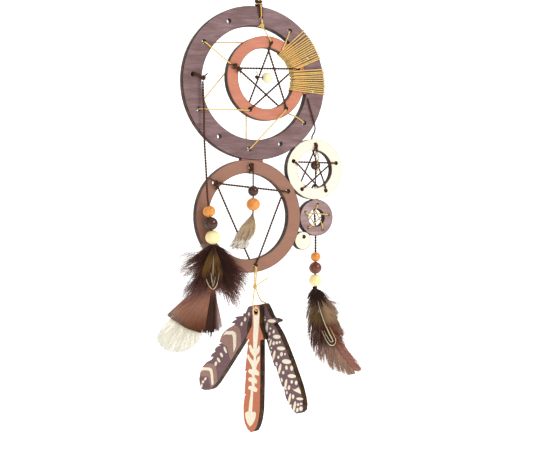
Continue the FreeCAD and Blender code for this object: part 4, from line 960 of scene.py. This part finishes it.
# --- left bundle; outlines in the x, z plane, millimetres
rng = random.Random(101)
BX, BY, BZ = -31.2, -7.8, -106.5
DARK = [(-31.8, -104.0), (-36.0, -106.1), (-41.4, -109.9), (-47.5, -114.9), (-50.2, -117.0), (-49.0, -120.1), (-44.4, -121.9), (-42.1, -125.4),
        (-46.0, -130.3), (-50.2, -134.5), (-48.2, -138.1), (-42.1, -138.1), (-36.0, -134.5), (-26.8, -134.5), (-22.2, -137.4), (-19.2, -141.6),
        (-16.9, -143.0), (-15.4, -140.9), (-14.6, -136.0), (-11.1, -128.9), (-9.6, -124.0), (-13.1, -120.5), (-15.4, -117.0), (-19.2, -112.8),
        (-23.0, -108.5), (-27.6, -105.4)]
FANP = [(-62.4, -149.0), (-59.7, -151.4), (-55.1, -154.2), (-50.2, -157.4), (-45.2, -159.5), (-40.6, -160.9), (-35.6, -161.4), (-34.8, -159.8),
        (-34.1, -161.1), (-31.4, -161.0), (-28.4, -160.4), (-26.1, -158.8), (-24.9, -155.6), (-24.9, -152.8), (-26.1, -148.6), (-27.6, -145.1),
        (-28.7, -140.2), (-29.4, -134.5), (-29.5, -126.1), (-36.0, -126.0), (-45.2, -136.0), (-52.8, -141.6), (-58.2, -145.4)]
CREAMP = [(-69.0, -163.2), (-66.3, -158.3), (-61.0, -152.5), (-54.0, -146.0), (-46.0, -139.5), (-38.0, -139.5), (-37.0, -150.0), (-36.5, -159.0),
          (-37.5, -162.6), (-41.5, -168.3), (-46.3, -171.8), (-51.0, -173.0), (-56.4, -173.3), (-61.5, -172.4), (-66.3, -169.0)]
ALM = [(-31.8, -105.0), (-37.5, -110.6), (-40.6, -115.6), (-41.7, -120.5), (-39.8, -125.4), (-37.5, -130.3), (-35.2, -134.9), (-32.6, -135.4),
       (-29.9, -132.4), (-26.8, -127.5), (-25.3, -122.6), (-25.7, -116.3), (-28.4, -110.6)]

def dark_hue(x, z, v):
    return pal([(0, (0.026, 0.007, 0.005)), (0.5, (0.036, 0.009, 0.007)), (0.78, (0.095, 0.028, 0.022)), (1, (0.25, 0.105, 0.085))], v)

def wisp_hue(v):
    return pal([(0, (0.10, 0.045, 0.035)), (0.4, (0.26, 0.155, 0.13)), (1, (0.52, 0.40, 0.36))], v)

sp = Soup()
spray(sp, DARK, (-31.4, -8.2, -105.2), (-32.0, -8.2, -121.0), 1000, -84, 84, 0.50, dark_hue, rng, ragged=0.36, over=0.06, wave=0.10, yr=0.7, ydir=0.16)
spray(sp, DARK, (-31.4, -8.2, -106.0), (-32.0, -8.2, -124.0), 760, -82, 82, 0.26, lambda x, z, v: pal([(0, DK), (0.6, DB), (1, (0.26, 0.12, 0.10))], v), rng, ragged=0.35,
      over=0.30, wave=0.24, yr=1.0, ydir=0.2)
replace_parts(sp.make("plume_left_dark", [MAT["feather"]], "left_feathers", True), "left_feather_brown")

sp = Soup()
fluff(sp, (-43, -7.6, -112), 55, -112, -70, 9, 18, 0.15, wisp_hue, rng, wave=0.5, spread=3.0)
fluff(sp, (-45, -7.6, -120), 55, -98, -58, 7, 14, 0.15, wisp_hue, rng, wave=0.5, spread=3.5)
fluff(sp, (-43, -7.6, -131), 70, -90, -45, 6, 13, 0.16, wisp_hue, rng, wave=0.4, spread=3.0)
fluff(sp, (BX - 3, -6.4, BZ + 1.5), 30, -110, -55, 5, 10, 0.18, lambda v: pal([(0, (0.25, 0.19, 0.16)), (1, (0.55, 0.48, 0.42))], v), rng, wave=0.7, spread=1.6)
fluff(sp, (-16, -7.6, -125), 60, 38, 92, 5, 10, 0.15, wisp_hue, rng, wave=0.3, spread=3.5)
fluff(sp, (-24, -7.4, -131), 9, 8, 26, 12, 18, 0.30, lambda v: pal([(0, DB), (1, (0.22, 0.13, 0.11))], v), rng, wave=0.1, spread=1.5)
sp.make("plume_left_down", [MAT["down"]], "left_feathers", True)

def fan_hue(x, z, v):
    c = lerp3((0.27, 0.125, 0.080), (0.125, 0.040, 0.014), smoothstep(-144, -159, z) * smoothstep(-60, -42, x))
    c = lerp3(c, (0.36, 0.24, 0.195), 0.8 * smoothstep(-50, -63, x))
    return tuple(q * (0.72 if v > 0.97 else 1.0) for q in c)

def mauve_hue(x, z, v):
    return pal([(0, (0.045, 0.018, 0.013)), (0.35, (0.060, 0.026, 0.020)), (0.6, (0.25, 0.155, 0.14)), (1, (0.42, 0.31, 0.285))], smoothstep(-32.2, -25.0, x))

sp = Soup()
spray(sp, FANP, (-34.0, -6.9, -127.5), (-32.5, -6.9, -134.0), 340, -64, 4, 0.62, fan_hue, rng, ragged=0.03, over=0.0, bend=0.10, wave=0.0, yr=0.7, taper=0.35, order=True, tone=0.09)
spray(sp, FANP, (-30.8, -6.7, -128.0), (-30.2, -6.7, -140.0), 210, -12, 17, 0.55, mauve_hue, rng, ragged=0.10, over=0.0, bend=0.10, wave=0.02, yr=0.4, taper=0.5, order=True, clump=6)
rachis(sp, quill((-31.0, -7.5, -126), (-30.6, -7.5, -160.0), (0.8, 0, 0)), 0.45, 0.25, lambda t: (0.05, 0.02, 0.014))
sp.make("plume_left_fan", [MAT["feather"]], "left_feathers", True)

sp = Soup()
CRM, CRT = (0.86, 0.80, 0.63), (0.93, 0.90, 0.79)
rachis(sp, quill((-33.0, -5.4, -111), (-56.5, -5.4, -168.0), (-1.5, 0, 1.0)), 0.42, 0.2, lambda t: (0.84, 0.77, 0.6))
spray(sp, CREAMP, (-44.0, -5.4, -142.0), (-41.5, -5.4, -147.0), 320, -60, 14, 0.64, lambda x, z, v: lerp3(CRM, CRT, v), rng, ragged=0.05, over=0.0, bend=0.12, wave=0.0, yr=0.6, taper=0.4,
      order=True, tone=0.05)
spray(sp, CREAMP, (-44.0, -5.4, -142.0), (-41.5, -5.4, -148.0), 150, -60, 14, 0.26, lambda x, z, v: lerp3(CRM, CRT, v), rng, ragged=0.2, over=0.05, wave=0.1, yr=0.5, tone=0.06)
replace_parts(sp.make("plume_left_cream", [MAT["feather"]], "left_feathers", True), "left_feather_cream")

def alm_hue(x, z, v):
    w = abs(x + 32.6)
    c = lerp3((0.035, 0.015, 0.009), (0.125, 0.062, 0.016), smoothstep(-107, -116, z))
    c = lerp3(c, (0.17, 0.058, 0.014), 0.7 * smoothstep(3.0, 8.0, w))
    c = lerp3(c, (0.035, 0.013, 0.007), smoothstep(-121, -127, z) * (1 - smoothstep(3.5, 6.0, w)))
    return lerp3(c, (0.34, 0.13, 0.045), smoothstep(-130.5, -134.5, z))

sp = Soup()
q = quill((-31.7, -9.7, -105.6), (-32.6, -9.9, -131.5), (-0.3, -0.4, 0))
fill_vane(sp, q, ALM, 170, lambda u, s: 32 - 12 * u, 0.62, alm_hue, rng, tipward=0.6, ragged=0.08, split=1.5, clump=12)
rachis(sp, [tuple(v) for v in q[5:] + np.array([0, -0.5, 0])], 0.26, 0.24, lambda t: pal([(0, (0.12, 0.08, 0.05)), (0.25, (0.42, 0.32, 0.24)), (1, PALE)], t))
streak(sp, [(-37.2, -126.5), (-36.4, -128.9), (-34.5, -132.0), (-32.6, -133.4), (-30.7, -132.0), (-29.1, -128.2), (-28.4, -122.6)], -10.8, 0.27, (0.42, 0.30, 0.15), (0.80, 0.70, 0.48))
streak(sp, [(-33.9, -122.6), (-33.6, -127.0), (-32.6, -131.8), (-31.4, -128.0), (-31.0, -125.2)], -10.9, 0.22, (0.42, 0.30, 0.15), (0.76, 0.66, 0.44))
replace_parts(sp.make("plume_left_almond", [MAT["feather"]], "left_feathers", True), "left_feather_almond")

sp = Soup()
coil(sp, (-30.9, -7.8), 1.5, 1.5, -109.0, -105.0, 8, 0.32, 0)
sp.tube(WA([(-30.9, -7.8, -105.2), (-31.0, -7.8, -107.0), (-31.2, -7.8, -109.6)]), [0.0012, 0.0015, 0.0013], 10, 0)
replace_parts(sp.make("binding_left", [MAT["binding"]], "left_feathers"), "left_binding")

# --- centre feather: a soft tuft with curled tips
rng = random.Random(202)
TUFT = [(-3.5, -83.5), (-7.0, -86.0), (-10.5, -90.0), (-12.5, -93.0), (-14.0, -97.0), (-16.0, -100.0), (-20.5, -103.5), (-19.5, -107.0), (-15.0, -107.6),
        (-11.5, -107.0), (-8.5, -104.5), (-5.5, -102.0), (-3.0, -99.0), (-0.8, -95.5), (0.0, -91.0), (-1.0, -87.0)]
sp = Soup()
spray(sp, TUFT, (-3.6, -7.5, -84.6), (-5.4, -7.5, -89.0), 460, -46, 14, 0.34, lambda x, z, v: pal([(0, (0.50, 0.36, 0.22)), (0.3, (0.64, 0.47, 0.29)), (0.7, (0.60, 0.43, 0.27)), (1, (0.78, 0.66, 0.50))], v),
      rng, ragged=0.35, over=0.05, bend=-0.2, wave=0.15, yr=1.2, tone=0.28, ydir=0.14)
spray(sp, TUFT, (-3.6, -8.0, -84.6), (-5.4, -8.0, -90.0), 130, -42, 8, 0.24, lambda x, z, v: (0.33, 0.22, 0.125), rng, ragged=0.3, over=0.0, bend=-0.2, wave=0.15, yr=0.9)
for k in range(34):
    o = (rng.uniform(-17.0, -6.5), -9.9 + rng.uniform(-0.8, 0.8), rng.uniform(-104.5, -100.5))
    tipc = (0.015, 0.01, 0.01) if rng.random() < 0.45 else (0.40, 0.17, 0.12) if rng.random() < 0.35 else (0.88, 0.83, 0.72)
    barb(sp, o, (-0.15, 0, -1.0), (-1.0, 0, rng.uniform(-0.45, 0.15)), rng.uniform(5.0, 8.0), 0.62, lambda v, tipc=tipc: pal([(0, (0.78, 0.70, 0.56)), (0.5, (0.84, 0.78, 0.66)), (0.66, tipc), (1, tipc)], v), n=8)
centre_plume = sp.make("plume_centre", [MAT["down"]], "centre_feather", True)
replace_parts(centre_plume, "centre_feather")

# --- right feather
rng = random.Random(303)
PR = [(47.2, -134.6), (52.3, -137.0), (56.5, -141.5), (60.7, -145.3), (64.0, -149.8), (64.9, -153.6), (64.2, -157.4), (66.2, -161.9), (68.3, -166.4), (67.6, -172.5),
      (70.8, -177.0), (75.0, -182.3), (79.2, -187.6), (82.7, -192.1), (79.2, -194.6), (75.0, -195.5), (72.5, -195.9), (67.4, -194.2), (62.4, -192.9), (58.2, -190.6),
      (55.6, -186.5), (54.3, -189.0), (52.3, -185.0), (48.9, -181.6), (45.5, -178.5), (43.4, -174.0), (42.8, -168.7), (41.3, -164.9), (41.1, -158.9), (39.5, -153.6),
      (40.5, -147.5), (40.6, -142.3), (42.3, -138.5), (44.7, -135.4)]

def right_hue(x, z, v):
    r = smoothstep(-2.0, 3.0, x - float(np.interp(-z, [137, 143.8, 166.4, 176, 193.5], [47, 49.3, 57.3, 62, 77.5])))
    c = lerp3((0.022, 0.008, 0.005), lerp3((0.125, 0.066, 0.020), (0.36, 0.23, 0.13), r), smoothstep(-138, -146, z))
    c = lerp3(c, lerp3((0.050, 0.015, 0.009), (0.17, 0.045, 0.011), r), smoothstep(-157, -163, z))
    c = lerp3(c, lerp3((0.36, 0.21, 0.15), (0.42, 0.165, 0.12), r), smoothstep(-172, -179, z))
    return lerp3(c, (0.50, 0.33, 0.26), 0.45 * smoothstep(0.75, 1.0, v) * smoothstep(-174, -186, z))

sp = Soup()
q = quill((47.0, 4.3, -136.5), (77.0, 4.3, -193.0), (-5.0, 0, -1.5), 36)
fill_vane(sp, q, PR, 310, lambda u, s: (48 if s > 0 else 36) - 12 * u, 0.62, right_hue, rng, u0=0.02, u1=0.99, tipward=0.45, longest=34, ragged=0.10, wave=0.05, split=2.4, yr=0.5)
fill_vane(sp, q, PR, 150, lambda u, s: 40 - 12 * u, 0.24, lambda x, z, v: lerp3(right_hue(x, z, v), (0.45, 0.30, 0.24), 0.4 * v), rng, u0=0.03, u1=0.97, tipward=0.35, longest=36, ragged=0.2, over=0.12,
          wave=0.15, split=6.0, clump=4, yr=0.7)
spray(sp, PR, (47.3, 4.2, -137.5), (50.0, 4.2, -150.0), 190, 20, 62, 0.46, right_hue, rng, ragged=0.25, over=0.0, bend=0.15, wave=0.06, yr=0.5, longest=20.0, taper=0.7)
spray(sp, PR, (46.8, 4.0, -135.2), (47.3, 4.0, -138.5), 280, -75, 66, 0.42, lambda x, z, v: pal([(0, (0.015, 0.006, 0.004)), (0.6, (0.035, 0.014, 0.010)), (1, (0.12, 0.065, 0.05))], v), rng,
      ragged=0.45, over=0.1, wave=0.15, yr=0.9, longest=13.0, ydir=0.2)
rachis(sp, [tuple(v) for v in q[4:22] + np.array([0, -0.85, 0])], 0.28, 0.24, lambda t: pal([(0, (0.3, 0.22, 0.15)), (0.2, (0.66, 0.58, 0.42)), (1, (0.74, 0.66, 0.47))], t))
streak(sp, [(51.4, -164.2), (53.9, -169.5), (57.0, -174.2), (60.6, -174.8), (62.5, -171.4), (59.8, -166.4), (57.3, -161.9)], 3.3, 0.27, (0.36, 0.25, 0.12), (0.80, 0.71, 0.50))
streak(sp, [(53.1, -164.2), (55.6, -168.7), (58.4, -172.8), (60.0, -171.2), (57.3, -166.4), (55.2, -161.9)], 3.25, 0.22, (0.36, 0.25, 0.12), (0.76, 0.67, 0.46))
right_plume = sp.make("plume_right", [MAT["feather"]], "right_feather", True)
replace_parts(right_plume, "right_feather")
sp = Soup()
for o, a0, a1, c in (((65.5, 4.2, -163), 62, 100, 26), ((66.5, 4.2, -171), 55, 85, 18), ((61.5, 4.2, -147), 55, 95, 24), ((41.5, 4.2, -150), -95, -45, 26), ((42.5, 4.2, -166), -80, -35, 20), ((46.5, 4.2, -179), -50, -10, 20)):
    o = (o[0] - 6.0 if a0 > 0 else o[0] + 5.0, o[1], o[2] + 1.5)
    fluff(sp, o, c + 10, a0, a1, 8 if a0 > 0 else 6, 17 if a0 > 0 else 12, 0.2, lambda v: pal([(0, (0.14, 0.06, 0.045)), (1, (0.48, 0.34, 0.29))], v), rng, wave=0.3, spread=2.5)
sp.make("plume_right_down", [MAT["down"]], "right_feather", True)
sp = Soup()
coil(sp, (46.7, 4.3), 1.35, 1.35, -138.8, -134.2, 9, 0.3, 0)
sp.tube(WA([(46.7, 4.3, -134.2), (46.7, 4.3, -136.6), (46.8, 4.3, -139.4)]), [0.0010, 0.0013, 0.0012], 10, 0)
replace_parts(sp.make("binding_right", [MAT["binding"]], "right_feather"), "right_binding")

# the cords of the three pendants, each on its pendant's body
free_cord("cord_left", "left_cord", "left_pendant", LEFT, 0.0015, [MAT["brown"]], 0.0036)
free_cord("cord_centre", "centre_cord", "centre_pendant", CENTRE, 0.0012, [MAT["brown"]], 0.003)
free_cord("cord_right", "right_cord", "right_pendant", RIGHT, 0.0015, [MAT["brown"]], 0.0036)


# ------------------------------------------------------------------ painted marks
def rot_about(v, ax, deg):
    a = math.radians(deg)
    return v * math.cos(a) + np.cross(ax, v) * math.sin(a) + ax * np.dot(ax, v) * (1 - math.cos(a))


def marks(name, key, body, polys, mat, height=0.07, sunk=0.05):
    """Thin raised paint: closed prisms on the plate's painted side."""
    verts, faces = [], []
    base = cen[key] + NV * HALF
    for i, poly in enumerate(polys):
        area = sum(poly[k][0] * poly[(k + 1) % len(poly)][1] - poly[(k + 1) % len(poly)][0] * poly[k][1] for k in range(len(poly)))
        if area < 0:
            poly = poly[::-1]
        b = len(verts)
        n = len(poly)
        for h in (-sunk, height + 0.006 * (i % 9)):
            for s_, u_ in poly:
                v = rot_about(SV * s_ + np.array([0, 0, 1.0]) * u_, NV, TILT[key])
                verts.append(W(*(base + v + NV * h)))
        faces.append(tuple(b + n - 1 - k for k in range(n)))
        faces.append(tuple(b + n + k for k in range(n)))
        for k in range(n):
            k2 = (k + 1) % n
            faces.append((b + k, b + k2, b + n + k2, b + n + k))
    return add_mesh(name, verts, faces, mat, body, smooth=False)


def blob(x, z, a, b, deg=0.0, point=0.0, n=14, seed=0):
    """Brushed dab: an ellipse, drawn out to a point at one end if asked."""
    r = random.Random(seed)
    out = []
    for k in range(n):
        t = 2 * math.pi * k / n
        px, pz = a * math.cos(t), b * math.sin(t)
        if point and pz > 0:
            px *= 1 - point * pz / b
        j = 1 + r.uniform(-0.05, 0.05)
        c, s_ = math.cos(math.radians(deg)), math.sin(math.radians(deg))
        out.append((x + (px * c - pz * s_) * j, z + (px * s_ + pz * c) * j))
    return out


# dabs: (side, up) of the middle, then the two half axes; the rest are outlines
DABS_LEFT = [
    (-6.5, -9.4, 0.7, 0.43, 0.52, -1.1), (-7, -14.2, 0.77, 0.47, 0.66, -1.41), (-7.5, -18.6, 0.71, 0.43, 0.58, -1.24),
    (-8.4, -41.5, 0.52, 0.77, 2.19, -1.14), (-8.9, -46.3, 0.52, 0.87, 1.58, -0.69), (-8.8, -50.7, 0.49, 0.89, 1.78, -0.64),
    (-9.3, -54.3, 0.88, 0.5, 0.58, -1.58), (-10.4, -68.5, 0.77, 0.33, 0.23, -1.23), (-10.8, -71.5, 0.86, 0.3, 0.11, -1.19),
    (-10.3, -74.7, 0.81, 0.5, 0.59, -1.44),
]
BANDS_LEFT = [
    [(-15.4, -34.6), (-15.1, -30.8), (-10.6, -26.9), (-8.5, -26.4), (-6.7, -27.5), (-2.6, -33.6), (-2.1, -36.4), (-2, -38.5), (-4.5, -35.1), (-8.1, -30.4), (-9.8, -29.5), (-13.9, -32.6)],
    [(-16.6, -67.4), (-16.8, -63.5), (-11.9, -59.8), (-9.6, -59.3), (-7.1, -61.6), (-3.2, -66.2), (-3, -68.1), (-4.1, -68.3), (-7.8, -63.9), (-10.2, -62), (-11.4, -62), (-15.5, -65)],
]
TAUPE_LEFT = [
    [(-16.3, -36.5), (-16.4, -33.7), (-15.9, -30.9), (-14.5, -27.3), (-12.1, -23.3), (-9.2, -21.9), (-6.5, -22.5), (-3.7, -25), (-1.8, -27.5), (-0.3, -30.5), (-0.5, -40.8), (-0.7, -44.1), (-3, -43.1), (-6, -40.6), (-8.4, -38.9), (-11.9, -39.6), (-15.5, -39.5)],
    [(-15.6, -69.5), (-16.8, -66.2), (-16.4, -62.5), (-15.4, -59), (-11.6, -56.1), (-8.2, -55.9), (-5.2, -58.7), (-1.7, -63.2), (-1.9, -66.8), (-3.2, -70.4), (-5.8, -68.6), (-8.7, -66), (-11.3, -66.8), (-13.6, -69.2)],
]
ARROW = [
    [(-2.8, 0.5), (-1.6, 2.3), (-0.2, 3.7), (1.4, 2.6), (2.9, 1.1), (2, 1.2), (1.1, 1.9), (-0.1, 2), (-1.2, 1.7), (-1.9, 0.6)],
    [(-2.6, 0.5), (-1.8, 0.6), (-1.6, -1), (-1.2, -2.4), (-2, -2.6)], [(2, 1), (2.9, 1), (2.9, -2.1), (1.5, -2.1), (1.9, -0.7)],
    [(-1.9, -2.4), (2.9, -2), (2.7, -9.1), (2.3, -17), (1.8, -22.2), (-1.3, -22.6), (-1.6, -16), (-1.4, -9.5)],
    [(-5, -22.9), (-3.5, -21.7), (-1.1, -24.9), (-1.4, -20.6), (1.8, -20.3), (1.7, -24.5), (3.2, -21.5), (4.2, -22.8), (3.8, -26), (2.1, -28), (1.3, -29.2), (-0.8, -29.3), (-3.4, -26.7)],
    [(-6.3, -29.7), (-5.3, -28.1), (-3, -30.7), (-0.7, -32.2), (-0.6, -28.8), (1.2, -28.6), (1.4, -32.1), (2.8, -29.1), (4.4, -28.4), (4.2, -31.1), (2.3, -34.6), (1.6, -36.8), (-1.5, -37.2), (-2.4, -35.2), (-4.8, -32.1)],
    [(-4.8, -39.2), (-3.8, -37.8), (-1.6, -38), (-1.6, -36.5), (1.4, -36.2), (1.6, -37.2), (3, -38.2), (4.1, -39.3), (4, -41.4), (2.1, -41.3), (0.8, -41), (0.6, -43.1), (-1.4, -43.3), (-1.8, -41.4), (-4.2, -40.6)],
    [(-4.6, -44.6), (-3.6, -43.3), (-1.4, -43.2), (0.9, -42.8), (2.7, -44.5), (2.7, -46.6), (1, -46.8), (0.8, -48.7), (-1.3, -49), (-1.8, -46.4), (-4, -45.9)],
    [(-4.4, -50.3), (-3.4, -48.9), (-1.2, -48.8), (1.1, -48.8), (3.1, -50.1), (2.8, -52.1), (1.2, -52.5), (-0.2, -51.8), (-0.3, -54.6), (-2.1, -54.9), (-2.2, -51.4), (-4, -51.3)],
    [(-2.1, -53.5), (-0.2, -53.3), (-0.4, -60.6), (-0.6, -66.5), (-3.6, -66.9), (-3.2, -60.9)],
    [(-6.4, -67.7), (-5.2, -66.3), (-3.2, -65.7), (-0.7, -65.9), (1.7, -65.3), (2.6, -66.9), (1.9, -70.3), (0.1, -73.8), (-2, -75.7), (-4.2, -73.6), (-5.7, -70.6)],
]
DABS_RIGHT = [
    (2.5, -2.3, 0.62, -0.19, -0.25, -0.68), (2.7, -5.5, 0.7, -0.21, -0.24, -0.68), (2.5, -7.3, 0.69, -0.21, -0.2, -0.56),
    (7.4, -9.6, 3.17, -1.06, -0.44, -1.09), (4.8, -13.9, 0.69, -0.21, -0.24, -0.68), (6.6, -16.6, 0.7, -0.35, -0.75, -1.11),
    (3, -16.9, 0.65, -0.3, -0.6, -0.96), (7.8, -20.4, 2.81, -1.05, -0.6, -1.24), (1.2, -20.2, 0.69, -0.2, -0.26, -0.74),
    (4, -23.7, 0.87, -0.37, -0.69, -1.21), (6.5, -24.1, 0.91, -0.26, -0.36, -0.98), (8.9, -24.4, 0.92, -0.27, -0.26, -0.74),
    (8.5, -28.5, 3.12, -1.09, -0.54, -1.18), (1.3, -26.1, 0.61, -0.17, -0.23, -0.61), (7.6, -32.1, 1.03, -0.37, -0.63, -1.29),
    (10.3, -32.8, 0.68, -0.19, -0.27, -0.73), (4.5, -33.3, 0.84, -0.24, -0.38, -1.04), (9.8, -37.7, 3.3, -1.35, -0.78, -1.38),
    (1.7, -37, 0.88, -0.11, -0.16, -1.28), (8.4, -41.4, 1.01, -0.2, -0.33, -1.37), (12.2, -42.8, 1.15, -0.23, -0.39, -1.62),
    (4.9, -43.7, 0.84, -0.23, -0.4, -1.1), (10.6, -47.6, 3.09, -1.04, -0.54, -1.18), (2.1, -47.9, 0.79, -0.1, -0.18, -1.41),
    (9.3, -51.1, 0.91, -0.25, -0.39, -1.1), (12.5, -52.6, 1.06, -0.29, -0.47, -1.34), (6, -54, 0.94, -0.37, -0.77, -1.38),
    (3.2, -56.7, 0.68, -0.18, -0.38, -1.03), (7.1, -60.4, 0.98, -0.26, -0.5, -1.4), (11.6, -63, 2.56, -0.83, -0.38, -0.83),
    (3.5, -65.4, 0.69, -0.17, -0.3, -0.85), (9.1, -66.2, 0.9, -0.24, -0.35, -0.97), (11.5, -66.3, 1.05, -0.27, -0.22, -0.61),
    (7.4, -69.3, 0.93, -0.36, -0.71, -1.26), (10.4, -69.2, 1.35, -0.34, -0.5, -1.39), (1.7, -22.7, 0.64, -0.29, -1.34, -2.15),
    (1.5, -31.3, 0.85, -0.4, -2.1, -3.11), (3, -40.7, 0.91, -0.43, -2.03, -2.99), (4.3, -51.2, 0.85, -0.37, -1.81, -2.94),
    (3.8, -61.2, 0.86, -0.36, -2.08, -3.39), (6, -66.7, 0.85, -0.35, -1.94, -3.16), (-0.1, -28.4, 0.62, -0.17, -0.26, -0.74),
    (3.4, -54.3, 0.53, -0.14, -0.27, -0.73),
]
STROKES_RIGHT = [
    [(2.1, -10.9), (3.7, -9.3), (4.2, -10.4), (2.4, -14.2), (0.6, -17), (-0.9, -18.5), (-0.9, -17.4), (0.6, -13.7)],
    [(8.2, -55.3), (9.8, -56.3), (13.3, -55.8), (13.9, -57.8), (13.7, -60.5), (11.1, -58.5), (9.4, -57.2)],
]


def dabs(rows, n=12):
    out = []
    for cx, cz, ax, az, bx, bz in rows:
        ts = [2 * math.pi * k / n for k in range(n)]
        out.append([(cx + ax * math.cos(t) + bx * math.sin(t), cz + az * math.cos(t) + bz * math.sin(t)) for t in ts])
    return out

marks("marks_left_taupe", "left", "wooden_feather_left", TAUPE_LEFT, MAT["mark_taupe"], height=0.05)
marks("marks_left_cream", "left", "wooden_feather_left", dabs(DABS_LEFT) + BANDS_LEFT, MAT["mark_cream"], height=0.13)
marks("marks_centre_cream", "centre", "wooden_feather_centre", ARROW, MAT["mark_cream"], height=0.09)
marks("marks_right_cream", "right", "wooden_feather_right", dabs(DABS_RIGHT) + STROKES_RIGHT, MAT["mark_cream"], height=0.09)

# ------------------------------------------------------------------ floor, backdrop and light
def sweep_backdrop():
    prof = [(-2.2, -0.40), (0.6, -0.40), (1.1, -0.39), (1.45, -0.33), (1.7, -0.20), (1.85, 0.05), (1.92, 0.5), (1.94, 1.9)]
    verts, faces = [], []
    for x in np.linspace(-3.2, 3.2, 17):
        for y, z in prof:
            verts.append((x + y * math.tan(YAW) * 0.9, y, z))
    m = len(prof)
    for a in range(16):
        for b in range(m - 1):
            faces.append((a * m + b, (a + 1) * m + b, (a + 1) * m + b + 1, a * m + b + 1))
    s = Shader("backdrop_paper", rough=0.9)
    n = s.noise(s.tc.outputs["Object"], 30.0, 2.0)
    s.link(s.mix(n, (0.92, 0.92, 0.92), (0.97, 0.97, 0.97)), s.b.inputs["Base Color"])
    s.set("Emission Color", (1, 1, 1, 1))
    s.set("Emission Strength", 0.55)
    ob = add_mesh("floor_backdrop", verts, faces, s.mat)
    mod = ob.modifiers.new("round", "SUBSURF")
    mod.levels = 1
    mod.render_levels = 2


sweep_backdrop()
world = bpy.data.worlds.new("studio")
world.use_nodes = True
scene.world = world
world.node_tree.nodes["Background"].inputs[0].default_value = (1.0, 1.0, 1.0, 1)
world.node_tree.nodes["Background"].inputs[1].default_value = 0.5


def area(name, loc, aim, size, power, color=(1, 1, 1)):
    d = bpy.data.lights.new(name, "AREA")
    d.shape = "RECTANGLE"
    d.size, d.size_y = size
    d.energy = power
    d.color = color
    o = bpy.data.objects.new(name, d)
    scene.collection.objects.link(o)
    o.location = loc
    o.rotation_euler = (Vector(aim) - Vector(loc)).to_track_quat("-Z", "Y").to_euler()


area("key", (0.62, -0.85, 0.42), (0, 0, -0.16), (0.5, 0.5), 9.0, (1.0, 0.985, 0.96))
area("fill", (-1.15, -0.75, 0.05), (0, 0, -0.16), (1.0, 1.2), 2.5, (0.98, 0.99, 1.0))
area("top", (0.0, 0.1, 1.2), (0, 0, -0.16), (1.2, 1.2), 4.0)
area("back", (-0.4, 1.0, 0.3), (0, 0, -0.16), (1.4, 1.0), 3.0)
